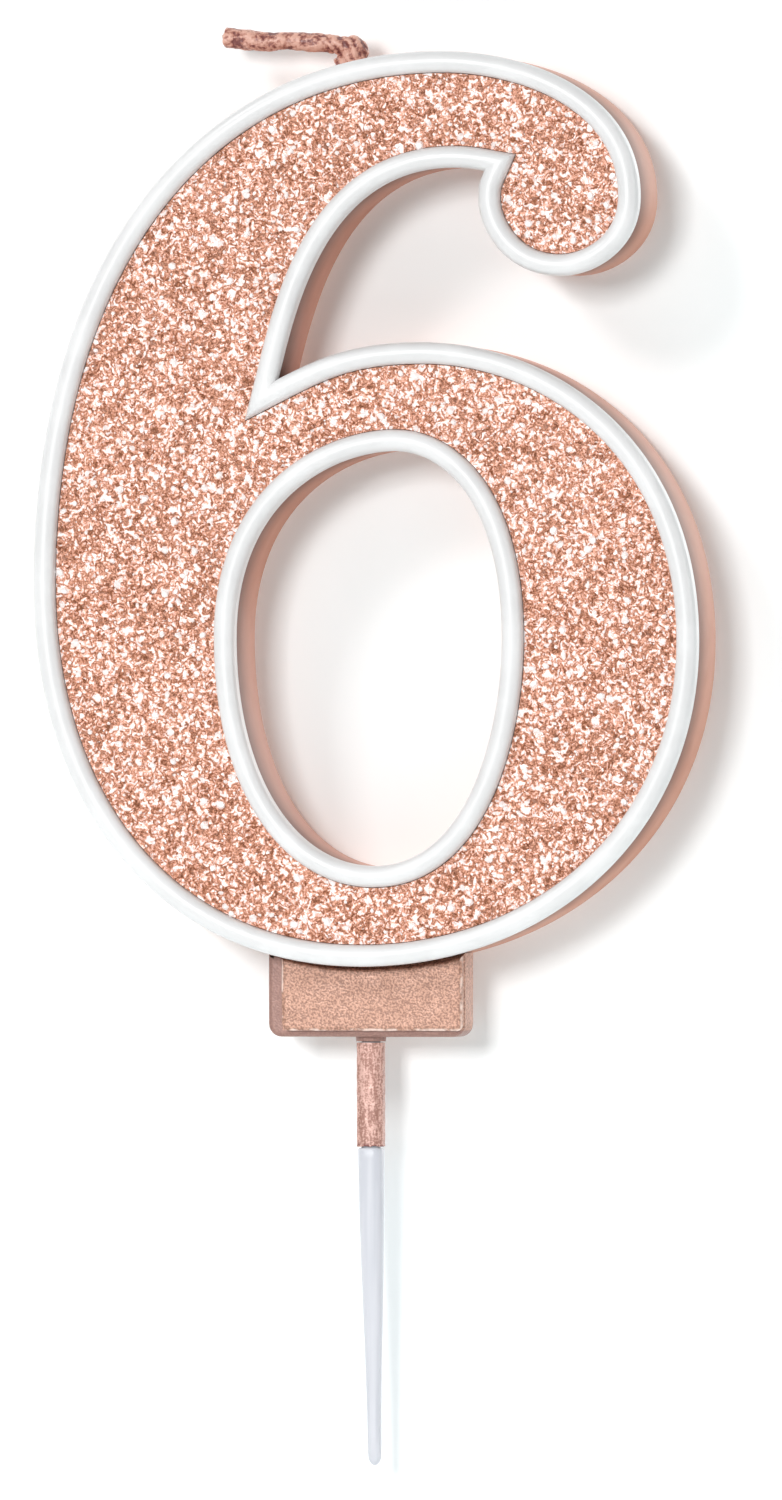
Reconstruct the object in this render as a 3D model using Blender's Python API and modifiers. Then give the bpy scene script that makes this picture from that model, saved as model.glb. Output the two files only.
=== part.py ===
"""Birthday candle in the shape of a six, on a plastic cake pick.

The candle is a flat wax numeral. A white bead runs round its outer edge and round its
counter, and a glitter panel fills the face between them. A small wax foot under the
numeral holds the barbed end of the pick, and a waxed three-strand wick leaves the top
of the hook and is bent over to the left.

Frame: +Z is up and the face looks along -Y. The origin is the middle of the foot's
underside, where the pick leaves it. Sizes here are millimetres; the meshes are metres.
"""
import math
from dataclasses import dataclass

import bmesh
import bpy
from mathutils import Vector
from mathutils.geometry import interpolate_bezier

MM = 0.001
CLEARANCE = 0.05          # space between two pieces that touch

# Numeral
BODY_HALF_DEPTH = 3.8     # the wax body is as deep behind the pick as in front of it
BODY_INSET = 0.15         # how far the body lies inside the bead's outer edge
BODY_EDGE = 0.5           # rounding of the body's front and back edges
BEAD_WIDTH = 1.65
BEAD_HEIGHT = 1.4
BEAD_SIDE = 0.35          # share of the bead's height that is a straight side
BEAD_STEPS = 6            # facets over the bead's round top
PANEL_HEIGHT = 0.35       # the glitter panel stands this far out of the body

# Foot
FOOT_HALF_WIDTH = 7.71
FOOT_HALF_DEPTH = 1.7
FOOT_CORNER = 1.0
FOOT_EDGE = 0.25
FOOT_TOP = 8.0            # before the numeral's outline is cut out of it
PAD_LEFT = -6.57          # the raised pad on the foot's front
PAD_RIGHT = 7.62
PAD_BOTTOM = 0.45
PAD_RISE = 0.6
PAD_CORNER = 0.5
PAD_ROOT = 0.3            # how far the pad is sunk into the slab it belongs to
RECESS_RADIUS = 1.3       # the shallow recess that the neck collar sits in
RECESS_DEPTH = 0.15

# Pick
PICK_TIP_Z = -32.9
PICK_RADIUS = 0.98        # just below the sleeve
STEM_RADIUS = 0.8         # inside the sleeve and inside the wax
BARB_RADIUS = 1.3
BARB_TOPS = (4.6, 10.2)
BARB_LENGTH = 2.2
SHOULDER_Z = -8.5
PICK_LEAN = 0.3           # sideways set of the tip
PICK_FLATTEN = 0.85       # depth of the section over its width

# Sleeve on the pick and the collar at its top
SLEEVE_RADIUS = 1.06
SLEEVE_BORE = STEM_RADIUS + CLEARANCE
COLLAR_RADIUS = 1.2
COLLAR_HEIGHT = 0.35
TURN_STEPS = 20

# Wick
WICK_EXIT = (-1.15, 74.6)  # top of the strands in the body, x and z
WICK_PIVOT = (-1.15, 75.75)
WICK_RADIUS = 0.73
BEND_RADIUS = 0.88        # the coat is thicker where the wick is bent
WICK_BORE = 0.6
WICK_TIP_FLARE = 1.12
STRAND_RADIUS = 0.2
STRAND_ORBIT = 0.28
STRAND_PITCH = 6.0
STRAND_STEPS = 9          # points in one turn of a strand
STRANDS = 3
CHANNEL_RADIUS = STRAND_ORBIT + STRAND_RADIUS + CLEARANCE
ROOT_RADIUS = 1.45
ROOT_TOP_Z = 74.8
ROOT_BORE = 0.6
BALL_STEPS = 4

QUARTER_STEPS = 12        # facets in a quarter turn of an outline
SHORT_STEPS = 4           # facets in a short stretch beside a corner


@dataclass(frozen=True)
class Knot:
    """A point of a curve, with the offsets to the handles that arrive and leave."""

    x: float
    z: float
    arrive: tuple
    leave: tuple
    steps: int = QUARTER_STEPS


def smooth(x, z, heading, arrive, leave, steps=QUARTER_STEPS):
    """A knot whose two handles lie in one line."""
    dx, dz = heading
    return Knot(x, z, (-dx * arrive, -dz * arrive), (dx * leave, dz * leave), steps)


LEFT = (-1, 0)
RIGHT = (1, 0)
UP = (0, 1)
DOWN = (0, -1)

# Outer edge of the numeral, anticlockwise from the notch between the ball and the hook.
OUTLINE = (
    Knot(9.82, 66.33, (-0.90, 0.17), (-0.39, -0.84), SHORT_STEPS),
    smooth(9.36, 64.13, DOWN, 1.07, 1.99),
    smooth(15.70, 58.27, RIGHT, 4.48, 2.73),
    smooth(21.91, 64.33, UP, 3.99, 7.75),
    smooth(6.31, 75.53, LEFT, 7.19, 18.25),
    smooth(-25.55, 34.77, DOWN, 26.05, 17.42),
    smooth(0.08, 5.41, RIGHT, 15.41, 14.17),
    smooth(26.46, 30.36, UP, 15.35, 15.61),
    smooth(4.92, 53.24, LEFT, 9.84, 5.29, SHORT_STEPS),
    Knot(-6.44, 50.40, (3.56, 1.80), (1.15, 4.40)),
    smooth(7.28, 66.59, RIGHT, 10.40, 0.94, SHORT_STEPS),
)

# Edge of the counter, the hole in the bowl, the same way round.
COUNTER = (
    smooth(2.73, 44.90, LEFT, 3.78, 4.37),
    smooth(-9.72, 30.64, DOWN, 10.98, 11.06),
    smooth(1.07, 13.14, RIGHT, 5.90, 7.79),
    smooth(11.18, 30.51, UP, 6.45, 10.67),
)

# Centre line of the wick inside the body, from the exit down the left side of the hook.
CORE_LINE = (
    smooth(*WICK_EXIT, DOWN, 0.0, 3.5),
    smooth(-8.5, 65.0, (-0.70, -0.71), 4.0, 4.0),
    smooth(-15.6, 52.0, (-0.28, -0.96), 5.0, 0.0),
)

# Centre line of the bent-over end of the wick, from the bend to the cut tip.
TAIL_LINE = (
    Knot(WICK_PIVOT[0], WICK_PIVOT[1], (0, 0), (-0.9, 0.35), SHORT_STEPS),
    smooth(-4.4, 76.36, (-1.0, 0.05), 1.3, 1.5, SHORT_STEPS),
    smooth(-8.2, 76.50, (-1.0, 0.03), 1.2, 1.2, SHORT_STEPS),
    Knot(-11.6, 76.78, (1.4, -0.12), (0, 0), SHORT_STEPS),
)


def clear_scene():
    """Remove every object of the scene."""
    for thing in list(bpy.data.objects):
        bpy.data.objects.remove(thing, do_unlink=True)


def new_collection(name):
    """Make a collection under the scene's own."""
    collection = bpy.data.collections.new(name)
    bpy.context.scene.collection.children.link(collection)
    return collection


def material(name, colour, roughness, metallic=0.0):
    """A Principled material with a plain colour."""
    finish = bpy.data.materials.new(name)
    finish.use_nodes = True
    shader = finish.node_tree.nodes["Principled BSDF"]
    shader.inputs["Base Color"].default_value = (*colour, 1.0)
    shader.inputs["Roughness"].default_value = roughness
    shader.inputs["Metallic"].default_value = metallic
    return finish


# Curves and outlines

def trace(knots, closed=True):
    """Points along the Bezier curve through the knots, as (x, z) pairs."""
    points = []
    pairs = list(zip(knots, knots[1:] + knots[:1])) if closed else list(zip(knots, knots[1:]))
    for start, end in pairs:
        controls = (
            Vector((start.x, start.z)),
            Vector((start.x + start.leave[0], start.z + start.leave[1])),
            Vector((end.x + end.arrive[0], end.z + end.arrive[1])),
            Vector((end.x, end.z)),
        )
        stretch = interpolate_bezier(*controls, start.steps + 1)
        points.extend((point.x, point.y) for point in stretch[:-1])
    if not closed:
        points.append((knots[-1].x, knots[-1].z))
    return points


def offset_loop(points, distance):
    """Move a closed loop to the left of its own direction, with mitred corners."""
    moved = []
    count = len(points)
    for index in range(count):
        before = Vector(points[index - 1])
        here = Vector(points[index])
        after = Vector(points[(index + 1) % count])
        into = (here - before).normalized()
        out = (after - here).normalized()
        left_in = Vector((-into.y, into.x))
        left_out = Vector((-out.y, out.x))
        mitre = (left_in + left_out).normalized()
        stretch = distance / mitre.dot(left_in)
        moved.append((here.x + mitre.x * stretch, here.y + mitre.y * stretch))
    return moved


def numeral_loops(inset):
    """The numeral's two loops, drawn into the wax by an inset."""
    return offset_loop(trace(OUTLINE), inset), offset_loop(trace(COUNTER), -inset)


def rounded_rectangle(left, right, bottom, top, corner, steps=5):
    """A rectangle whose two lower corners are round, anticlockwise."""
    points = [(right, top), (left, top)]
    for centre_x, start in ((left + corner, 180.0), (right - corner, 270.0)):
        for step in range(steps + 1):
            angle = math.radians(start + 90.0 * step / steps)
            x = centre_x + corner * math.cos(angle)
            z = bottom + corner + corner * math.sin(angle)
            points.append((x, z))
    return points


# Pieces

def place(name, data, collection, finish=None):
    """Link new object data into a collection under a name."""
    thing = bpy.data.objects.new(name, data)
    collection.objects.link(thing)
    if finish:
        data.materials.append(finish)
    return thing


def as_mesh(curve_object):
    """Swap a curve object for a closed mesh object of the same shape and name."""
    name = curve_object.name
    collection = curve_object.users_collection[0]
    bpy.context.view_layer.update()
    graph = bpy.context.evaluated_depsgraph_get()
    mesh = bpy.data.meshes.new_from_object(curve_object.evaluated_get(graph))
    welded = bmesh.new()
    welded.from_mesh(mesh)
    bmesh.ops.remove_doubles(welded, verts=welded.verts, dist=0.002 * MM)
    welded.to_mesh(mesh)
    welded.free()
    matrix = curve_object.matrix_world.copy()
    bpy.data.objects.remove(curve_object, do_unlink=True)
    thing = bpy.data.objects.new(name, mesh)
    thing.matrix_world = matrix
    collection.objects.link(thing)
    return thing


def plate(name, loops, front, back, collection, finish=None, edge=0.0):
    """A flat plate between two Y planes, bounded by loops of (x, z) points.

    The loops are already drawn in by the edge rounding, which the bevel gives back.
    """
    curve = bpy.data.curves.new(name, "CURVE")
    curve.dimensions = "2D"
    curve.fill_mode = "BOTH"
    curve.extrude = ((back - front) / 2 - edge) * MM
    curve.bevel_depth = edge * MM
    curve.bevel_resolution = 1
    curve.render_resolution_u = 0
    for loop in loops:
        spline = curve.splines.new("POLY")
        spline.points.add(len(loop) - 1)
        spline.use_cyclic_u = True
        for point, (x, z) in zip(spline.points, loop):
            point.co = (x * MM, z * MM, 0, 1)
    thing = place(name, curve, collection, finish)
    thing.location.y = (front + back) / 2 * MM
    thing.rotation_euler.x = math.radians(90)
    return thing


def tube(name, stations, collection, finish=None, sides=12):
    """A round bar through stations of (x, y, z, radius), with closed ends."""
    curve = bpy.data.curves.new(name, "CURVE")
    curve.dimensions = "3D"
    curve.bevel_depth = MM
    curve.bevel_resolution = (sides - 4) // 2
    curve.use_fill_caps = True
    curve.render_resolution_u = 0
    spline = curve.splines.new("POLY")
    spline.points.add(len(stations) - 1)
    for point, (x, y, z, radius) in zip(spline.points, stations):
        point.co = (x * MM, y * MM, z * MM, 1)
        point.radius = radius
    return place(name, curve, collection, finish)


def turned(name, profile, collection, finish=None):
    """A ring turned about the Z axis from a closed profile of (radius, z) points."""
    mesh = bpy.data.meshes.new(name)
    outline = bmesh.new()
    corners = [outline.verts.new((radius * MM, 0, z * MM)) for radius, z in profile]
    for start, end in zip(corners, corners[1:] + corners[:1]):
        outline.edges.new((start, end))
    outline.to_mesh(mesh)
    outline.free()
    thing = place(name, mesh, collection, finish)
    screw = thing.modifiers.new("Turn", "SCREW")
    screw.steps = TURN_STEPS
    screw.render_steps = TURN_STEPS
    screw.use_merge_vertices = True
    screw.merge_threshold = 0.000001
    return thing


def combine(thing, other, operation):
    """Add an exact Boolean modifier."""
    modifier = thing.modifiers.new(other.name, "BOOLEAN")
    modifier.operation = operation
    modifier.solver = "EXACT"
    modifier.object = other


def as_cutter(thing):
    """Show a cutter as a wire and keep it out of the model."""
    thing.hide_render = True
    thing.display_type = "WIRE"
    return thing


# Numeral

def numeral_body(parts, cutters, finish):
    """The wax body, with the wick's channel and the pick's socket cut out of it."""
    loops = numeral_loops(BODY_INSET + BODY_EDGE)
    front, back = -BODY_HALF_DEPTH, BODY_HALF_DEPTH
    body = as_mesh(plate("numeral_body", loops, front, back, parts, edge=BODY_EDGE))
    body.data.materials.append(finish)
    for cutter in (wick_channel(cutters), pick_socket(cutters, "body_pick_socket")):
        combine(body, cutter, "DIFFERENCE")
    return body


def bead_profile():
    """The bead's section, as (distance from its outer edge, height) pairs."""
    section = [(BEAD_WIDTH, 0.0), (0.0, 0.0)]
    for step in range(BEAD_STEPS + 1):
        angle = math.pi * step / BEAD_STEPS
        across = BEAD_WIDTH / 2 * (1 - math.cos(angle))
        height = BEAD_HEIGHT * (BEAD_SIDE + (1 - BEAD_SIDE) * math.sin(angle))
        section.append((across, height))
    return section


def bead(name, loop, side, parts, finish):
    """A half-round bead swept along a loop, on the wax side of it."""
    swept = bmesh.new()
    base = BODY_HALF_DEPTH + CLEARANCE
    rings = []
    for across, height in bead_profile():
        y = -(base + height * (BEAD_HEIGHT - CLEARANCE) / BEAD_HEIGHT)
        ring = offset_loop(loop, side * across)
        rings.append([swept.verts.new((x * MM, y * MM, z * MM)) for x, z in ring])
    count = len(loop)
    for ring, following in zip(rings, rings[1:] + rings[:1]):
        for here in range(count):
            there = (here + 1) % count
            swept.faces.new((ring[here], ring[there], following[there], following[here]))
    bmesh.ops.recalc_face_normals(swept, faces=swept.faces)
    mesh = bpy.data.meshes.new(name)
    swept.to_mesh(mesh)
    swept.free()
    mesh.shade_smooth()
    mesh.set_sharp_from_angle(angle=math.radians(40))
    return place(name, mesh, parts, finish)


def glitter_panel(parts, finish):
    """The glitter layer that fills the face between the two beads."""
    loops = numeral_loops(BEAD_WIDTH + CLEARANCE)
    back = -(BODY_HALF_DEPTH + CLEARANCE)
    front = -(BODY_HALF_DEPTH + PANEL_HEIGHT)
    return plate("glitter_panel", loops, front, back, parts, finish)


# Foot and pick

def foot_block(parts, cutters, finish):
    """The foot: a slab with a raised front pad, its top fitted to the numeral."""
    half_width = FOOT_HALF_WIDTH - FOOT_EDGE
    corner = FOOT_CORNER - FOOT_EDGE
    slab = rounded_rectangle(-half_width, half_width, FOOT_EDGE, FOOT_TOP, corner)
    front, back = -FOOT_HALF_DEPTH, FOOT_HALF_DEPTH
    foot = as_mesh(plate("foot_block", [slab], front, back, parts, edge=FOOT_EDGE))
    foot.data.materials.append(finish)
    outline = rounded_rectangle(PAD_LEFT, PAD_RIGHT, PAD_BOTTOM, FOOT_TOP, PAD_CORNER)
    pad_back = front + PAD_ROOT
    pad = as_mesh(plate("foot_pad", [outline], front - PAD_RISE, pad_back, cutters))
    combine(foot, as_cutter(pad), "UNION")
    seat_loop = offset_loop(trace(OUTLINE), BODY_INSET - CLEARANCE)
    seat = plate("numeral_seat", [seat_loop], -FOOT_TOP, FOOT_TOP, cutters)
    combine(foot, as_cutter(as_mesh(seat)), "DIFFERENCE")
    combine(foot, pick_socket(cutters, "foot_pick_socket"), "DIFFERENCE")
    combine(foot, as_cutter(as_mesh(neck_recess(cutters))), "DIFFERENCE")
    return foot


def neck_recess(cutters):
    """A cutter for the shallow round recess in the foot's underside."""
    stations = ((0, 0, RECESS_DEPTH, RECESS_RADIUS), (0, 0, -RECESS_DEPTH, RECESS_RADIUS))
    return flattened(tube("neck_recess", stations, cutters))


def anchor_stations(swell):
    """The pick's barbed end from its top down, as (z, radius) pairs."""
    top = BARB_TOPS[-1] + swell
    stations = [(top, STEM_RADIUS * 0.6 + swell)]
    for barb_top in reversed(BARB_TOPS):
        stations.append((barb_top - BARB_LENGTH, BARB_RADIUS + swell))
        stations.append((barb_top - BARB_LENGTH - 0.1 - swell, BARB_RADIUS + swell))
        stations.append((barb_top - BARB_LENGTH - 0.2 - swell, STEM_RADIUS + swell))
        lower = [z for z in BARB_TOPS if z < barb_top]
        if lower:
            stations.append((max(lower), STEM_RADIUS + swell))
    return stations


def flattened(thing):
    """Press the pick's round section a little flat, front to back."""
    thing.scale.y = PICK_FLATTEN
    return thing


def pick_socket(cutters, name):
    """A cutter for the socket that the wax forms round the barbed end."""
    stations = anchor_stations(CLEARANCE) + [(-1.0, STEM_RADIUS + CLEARANCE)]
    bar = tube(name, [(0, 0, z, radius) for z, radius in stations], cutters)
    return as_cutter(as_mesh(flattened(bar)))


def pick(parts, finish):
    """The plastic pick, from its barbed end in the wax down to its blunt tip."""
    stations = [(0, 0, z, radius) for z, radius in anchor_stations(0.0)]
    stations.append((0, 0, SHOULDER_Z, STEM_RADIUS))
    stations.append((0, 0, SHOULDER_Z - 0.05, PICK_RADIUS))
    length = SHOULDER_Z - PICK_TIP_Z
    for share, radius in ((0.3, 0.95), (0.5, 0.89), (0.68, 0.76), (0.82, 0.64), (0.94, 0.53)):
        stations.append((PICK_LEAN * share, 0, SHOULDER_Z - length * share, radius))
    for rise, radius in ((0.6, 0.48), (0.22, 0.36), (0.0, 0.15)):
        stations.append((PICK_LEAN, 0, PICK_TIP_Z + rise, radius))
    return flattened(tube("pick", stations, parts, finish, sides=16))


def pick_sleeve(parts, finish):
    """The rose gold sleeve that sits on the pick's shoulder."""
    top = -COLLAR_HEIGHT - 2 * CLEARANCE
    bottom = SHOULDER_Z + CLEARANCE
    profile = (
        (SLEEVE_RADIUS, top),
        (SLEEVE_RADIUS, bottom),
        (SLEEVE_BORE, bottom),
        (SLEEVE_BORE, top),
    )
    return flattened(turned("pick_sleeve", profile, parts, finish))


def neck_collar(parts, finish):
    """The small wax collar between the foot's recess and the sleeve."""
    top = RECESS_DEPTH - CLEARANCE
    profile = (
        (COLLAR_RADIUS, top),
        (COLLAR_RADIUS - 0.05, -COLLAR_HEIGHT),
        (SLEEVE_BORE, -COLLAR_HEIGHT),
        (SLEEVE_BORE, top),
    )
    return flattened(turned("neck_collar", profile, parts, finish))


# Wick

def strand_stations(line, index, start=0.0):
    """One strand of the wick, twisted round a centre line.

    The strand starts after the first stretch of the line, of the given length.
    """
    travelled = [0.0]
    for before, after in zip(line, line[1:]):
        travelled.append(travelled[-1] + math.dist(before, after))
    length = travelled[-1] - start
    count = math.ceil(length / STRAND_PITCH * STRAND_STEPS)
    stations = []
    stretch = 0
    for step in range(count + 1):
        along = min(start + length * step / count, travelled[-1])
        while stretch < len(line) - 2 and travelled[stretch + 1] < along:
            stretch += 1
        here = Vector(line[stretch])
        there = Vector(line[stretch + 1])
        heading = (there - here).normalized()
        centre = here + heading * (along - travelled[stretch])
        angle = 2 * math.pi * (along / STRAND_PITCH + index / STRANDS)
        aside = STRAND_ORBIT * math.cos(angle)
        y = STRAND_ORBIT * math.sin(angle)
        x = centre.x - heading.y * aside
        z = centre.y + heading.x * aside
        stations.append((x, y, z, STRAND_RADIUS))
    return stations


def strands(prefix, line, start, parts, finish):
    """The wick's three cotton strands along a centre line."""
    for index in range(STRANDS):
        stations = strand_stations(line, index, start)
        tube(f"{prefix}_{index + 1}", stations, parts, finish, sides=8)


def wick_channel(cutters):
    """A cutter for the channel that the wick fills inside the body."""
    line = trace(CORE_LINE, closed=False)
    (exit_x, exit_z), (end_x, end_z) = line[0], line[-1]
    before_x, before_z = line[-2]
    tail = Vector((end_x - before_x, end_z - before_z)).normalized() * (STRAND_RADIUS + CLEARANCE)
    route = [(exit_x, exit_z + 2.0)] + line + [(end_x + tail.x, end_z + tail.y)]
    stations = [(x, 0, z, CHANNEL_RADIUS) for x, z in route]
    return as_cutter(as_mesh(tube("wick_channel", stations, cutters)))


def wick_root_collar(parts, cutters, finish):
    """The ring of wax round the wick where it leaves the body."""
    low = WICK_EXIT[1] - 2.0
    x = WICK_EXIT[0]
    stations = [(x, 0, low, ROOT_RADIUS), (x, 0, ROOT_TOP_Z - 0.15, ROOT_RADIUS)]
    stations.append((x, 0, ROOT_TOP_Z, ROOT_RADIUS - 0.3))
    collar = as_mesh(tube("wick_root_collar", stations, parts, sides=16))
    collar.data.materials.append(finish)
    bore = [(x, 0, low - 1.0, ROOT_BORE), (x, 0, ROOT_TOP_Z + 1.0, ROOT_BORE)]
    combine(collar, as_cutter(as_mesh(tube("root_bore", bore, cutters))), "DIFFERENCE")
    seat_loop = offset_loop(trace(OUTLINE), BODY_INSET - CLEARANCE)
    seat = plate("root_seat", [seat_loop], -FOOT_TOP, FOOT_TOP, cutters)
    combine(collar, as_cutter(as_mesh(seat)), "DIFFERENCE")
    return collar


def sheath_radius(share):
    """The coat's radius at a share of the way from the bend to the cut tip."""
    swelling = (BEND_RADIUS - WICK_RADIUS) * (1 - share) ** 6
    flare = (WICK_TIP_FLARE - 1) * WICK_RADIUS * share ** 6
    return WICK_RADIUS + swelling + flare


def wick_sheath(parts, cutters, finish):
    """The wax coat of the bent-over wick: a tube with a ball end on the bend's pivot."""
    line = trace(TAIL_LINE, closed=False)
    centre = Vector(line[0])
    heading = (Vector(line[1]) - centre).normalized()
    stations = []
    for step in range(BALL_STEPS):
        angle = math.pi / 2 * (step + 0.2) / BALL_STEPS
        point = centre - heading * BEND_RADIUS * math.cos(angle)
        stations.append((point.x, 0, point.y, BEND_RADIUS * math.sin(angle)))
    for order, (x, z) in enumerate(line):
        stations.append((x, 0, z, sheath_radius(order / (len(line) - 1))))
    sheath = as_mesh(tube("wick_sheath", stations, parts))
    sheath.data.materials.append(finish)
    run_out = Vector(line[-1]) + (Vector(line[-1]) - Vector(line[-2])).normalized()
    bore = [(x, 0, z, WICK_BORE) for x, z in line + [run_out]]
    combine(sheath, as_cutter(as_mesh(tube("wick_bore", bore, cutters))), "DIFFERENCE")
    return sheath


def round_pieces(parts):
    """Shade the turned and swept pieces smooth."""
    for thing in parts.objects:
        if thing.type == "MESH" and thing.name != "foot_block":
            thing.data.shade_smooth()
            thing.data.set_sharp_from_angle(angle=math.radians(40))


def wick_bend_empty(parts):
    """Group the pieces that swing when the wick is bent upright, on the bend's pivot."""
    bend = bpy.data.objects.new("wick_bend", None)
    bend.location = (WICK_PIVOT[0] * MM, 0, WICK_PIVOT[1] * MM)
    bend.empty_display_size = MM
    parts.objects.link(bend)
    bpy.context.view_layer.update()
    for thing in list(parts.objects):
        if thing.name == "wick_sheath" or thing.name.startswith("tail_strand"):
            thing.parent = bend
            thing.matrix_parent_inverse = bend.matrix_world.inverted()


def main():
    """Build the candle."""
    clear_scene()
    parts = new_collection("number_candle_six")
    cutters = new_collection("cutters")
    rose_wax = material("rose_wax", (0.60, 0.35, 0.28), 0.38)
    white_wax = material("white_wax", (0.93, 0.93, 0.92), 0.35)
    glitter = material("glitter", (0.70, 0.42, 0.32), 0.30, 0.6)
    pearl_wax = material("pearl_wax", (0.60, 0.36, 0.27), 0.32, 0.3)
    plastic = material("pick_plastic", (0.82, 0.84, 0.87), 0.35)
    rose_foil = material("rose_foil", (0.62, 0.34, 0.27), 0.28, 0.6)
    copper_wax = material("wick_wax", (0.42, 0.17, 0.12), 0.35, 0.2)
    cotton = material("wick_cotton", (0.78, 0.62, 0.52), 0.9)

    numeral_body(parts, cutters, rose_wax)
    bead("outline_bead", trace(OUTLINE), 1, parts, white_wax)
    bead("counter_bead", trace(COUNTER), -1, parts, white_wax)
    glitter_panel(parts, glitter)
    foot_block(parts, cutters, pearl_wax)
    pick(parts, plastic)
    pick_sleeve(parts, rose_foil)
    neck_collar(parts, pearl_wax)
    wick_root_collar(parts, cutters, copper_wax)
    wick_sheath(parts, cutters, copper_wax)
    tail = trace(TAIL_LINE, closed=False)
    strands("tail_strand", tail, STRAND_RADIUS, parts, cotton)
    strands("core_strand", trace(CORE_LINE, closed=False), 0.0, parts, cotton)
    round_pieces(parts)
    wick_bend_empty(parts)


if __name__ == "__main__":
    main()
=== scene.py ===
"""Looks of the number candle: a six in glitter and wax on a plastic cake pick.

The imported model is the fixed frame. This script swaps its plain solids for finished
meshes, dresses every piece, and sets up the studio, the lamps and the camera.
Sizes are metres, +Z is up and the glitter face looks along -Y.
"""
from __future__ import annotations

import logging
import math
from dataclasses import dataclass, field
from enum import Enum

import bmesh
import bpy
import numpy as np
from mathutils import Matrix, Vector, noise
from mathutils.geometry import interpolate_bezier


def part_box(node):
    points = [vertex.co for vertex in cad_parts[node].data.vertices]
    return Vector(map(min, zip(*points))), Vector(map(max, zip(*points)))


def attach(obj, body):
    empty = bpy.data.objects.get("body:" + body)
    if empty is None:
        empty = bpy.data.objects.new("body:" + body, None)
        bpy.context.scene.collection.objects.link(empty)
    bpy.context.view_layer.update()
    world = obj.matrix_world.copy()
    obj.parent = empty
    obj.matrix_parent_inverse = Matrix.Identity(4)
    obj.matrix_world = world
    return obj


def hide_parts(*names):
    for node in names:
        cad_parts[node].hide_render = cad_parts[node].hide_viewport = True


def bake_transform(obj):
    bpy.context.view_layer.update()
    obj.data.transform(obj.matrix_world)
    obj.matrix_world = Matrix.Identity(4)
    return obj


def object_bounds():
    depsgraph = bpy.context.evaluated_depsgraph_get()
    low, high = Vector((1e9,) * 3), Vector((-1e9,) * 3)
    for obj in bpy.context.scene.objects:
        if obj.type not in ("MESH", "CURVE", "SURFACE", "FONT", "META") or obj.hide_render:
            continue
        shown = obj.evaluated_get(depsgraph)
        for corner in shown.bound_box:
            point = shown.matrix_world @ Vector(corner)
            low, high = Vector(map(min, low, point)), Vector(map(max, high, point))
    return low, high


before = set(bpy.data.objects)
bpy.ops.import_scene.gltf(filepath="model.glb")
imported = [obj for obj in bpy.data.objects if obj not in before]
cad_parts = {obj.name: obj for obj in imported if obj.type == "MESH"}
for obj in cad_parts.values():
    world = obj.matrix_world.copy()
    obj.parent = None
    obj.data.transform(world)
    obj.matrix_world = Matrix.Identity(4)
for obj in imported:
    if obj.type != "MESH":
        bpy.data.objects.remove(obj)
CAD_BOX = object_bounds()

MM = 0.001

Loop = list[tuple[float, float]]
Nodes = bpy.types.NodeTree
Socket = bpy.types.NodeSocket

log = logging.getLogger("candle")


# Outlines

class Edge(Enum):
    """The numeral's two closed edges; the value is the side that the wax is on."""

    OUTER = 1
    COUNTER = -1


@dataclass(frozen=True)
class Knot:
    """A point of a closed curve in millimetres, with the offsets to its two handles."""

    x: float
    z: float
    arrive: tuple[float, float]
    leave: tuple[float, float]


def smooth(x: float, z: float, heading: tuple[int, int], arrive: float, leave: float) -> Knot:
    """A knot whose two handles lie in one line."""
    dx, dz = heading
    return Knot(x, z, (-dx * arrive, -dz * arrive), (dx * leave, dz * leave))


def curve(start: Knot, end: Knot, count: int) -> list[Vector]:
    """Walk the curve from one knot to the next.

    Args:
        start: the knot to leave.
        end: the knot to arrive at.
        count: how many places to give, both knots included.

    Returns:
        The places, in metres on the XZ plane.
    """
    controls = (
        (start.x, start.z),
        (start.x + start.leave[0], start.z + start.leave[1]),
        (end.x + end.arrive[0], end.z + end.arrive[1]),
        (end.x, end.z),
    )
    return interpolate_bezier(*(Vector((x, 0.0, z)) * MM for x, z in controls), count)


LEFT, RIGHT, UP, DOWN = (-1, 0), (1, 0), (0, 1), (0, -1)

NUMERAL_KNOTS: dict[Edge, tuple[Knot, ...]] = {
    Edge.OUTER: (
        Knot(9.82, 66.33, (-0.90, 0.17), (-0.39, -0.84)),
        smooth(9.36, 64.13, DOWN, 1.07, 1.99),
        smooth(15.70, 58.27, RIGHT, 4.48, 2.73),
        smooth(21.91, 64.33, UP, 3.99, 7.75),
        smooth(6.31, 75.53, LEFT, 7.19, 18.25),
        smooth(-25.55, 34.77, DOWN, 26.05, 17.42),
        smooth(0.08, 5.41, RIGHT, 15.41, 14.17),
        smooth(26.46, 30.36, UP, 15.35, 15.61),
        smooth(4.92, 53.24, LEFT, 9.84, 5.29),
        Knot(-6.44, 50.40, (3.56, 1.80), (1.15, 4.40)),
        smooth(7.28, 66.59, RIGHT, 10.40, 0.94),
    ),
    Edge.COUNTER: (
        smooth(2.73, 44.90, LEFT, 3.78, 4.37),
        smooth(-9.72, 30.64, DOWN, 10.98, 11.06),
        smooth(1.07, 13.14, RIGHT, 5.90, 7.79),
        smooth(11.18, 30.51, UP, 6.45, 10.67),
    ),
}


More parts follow.
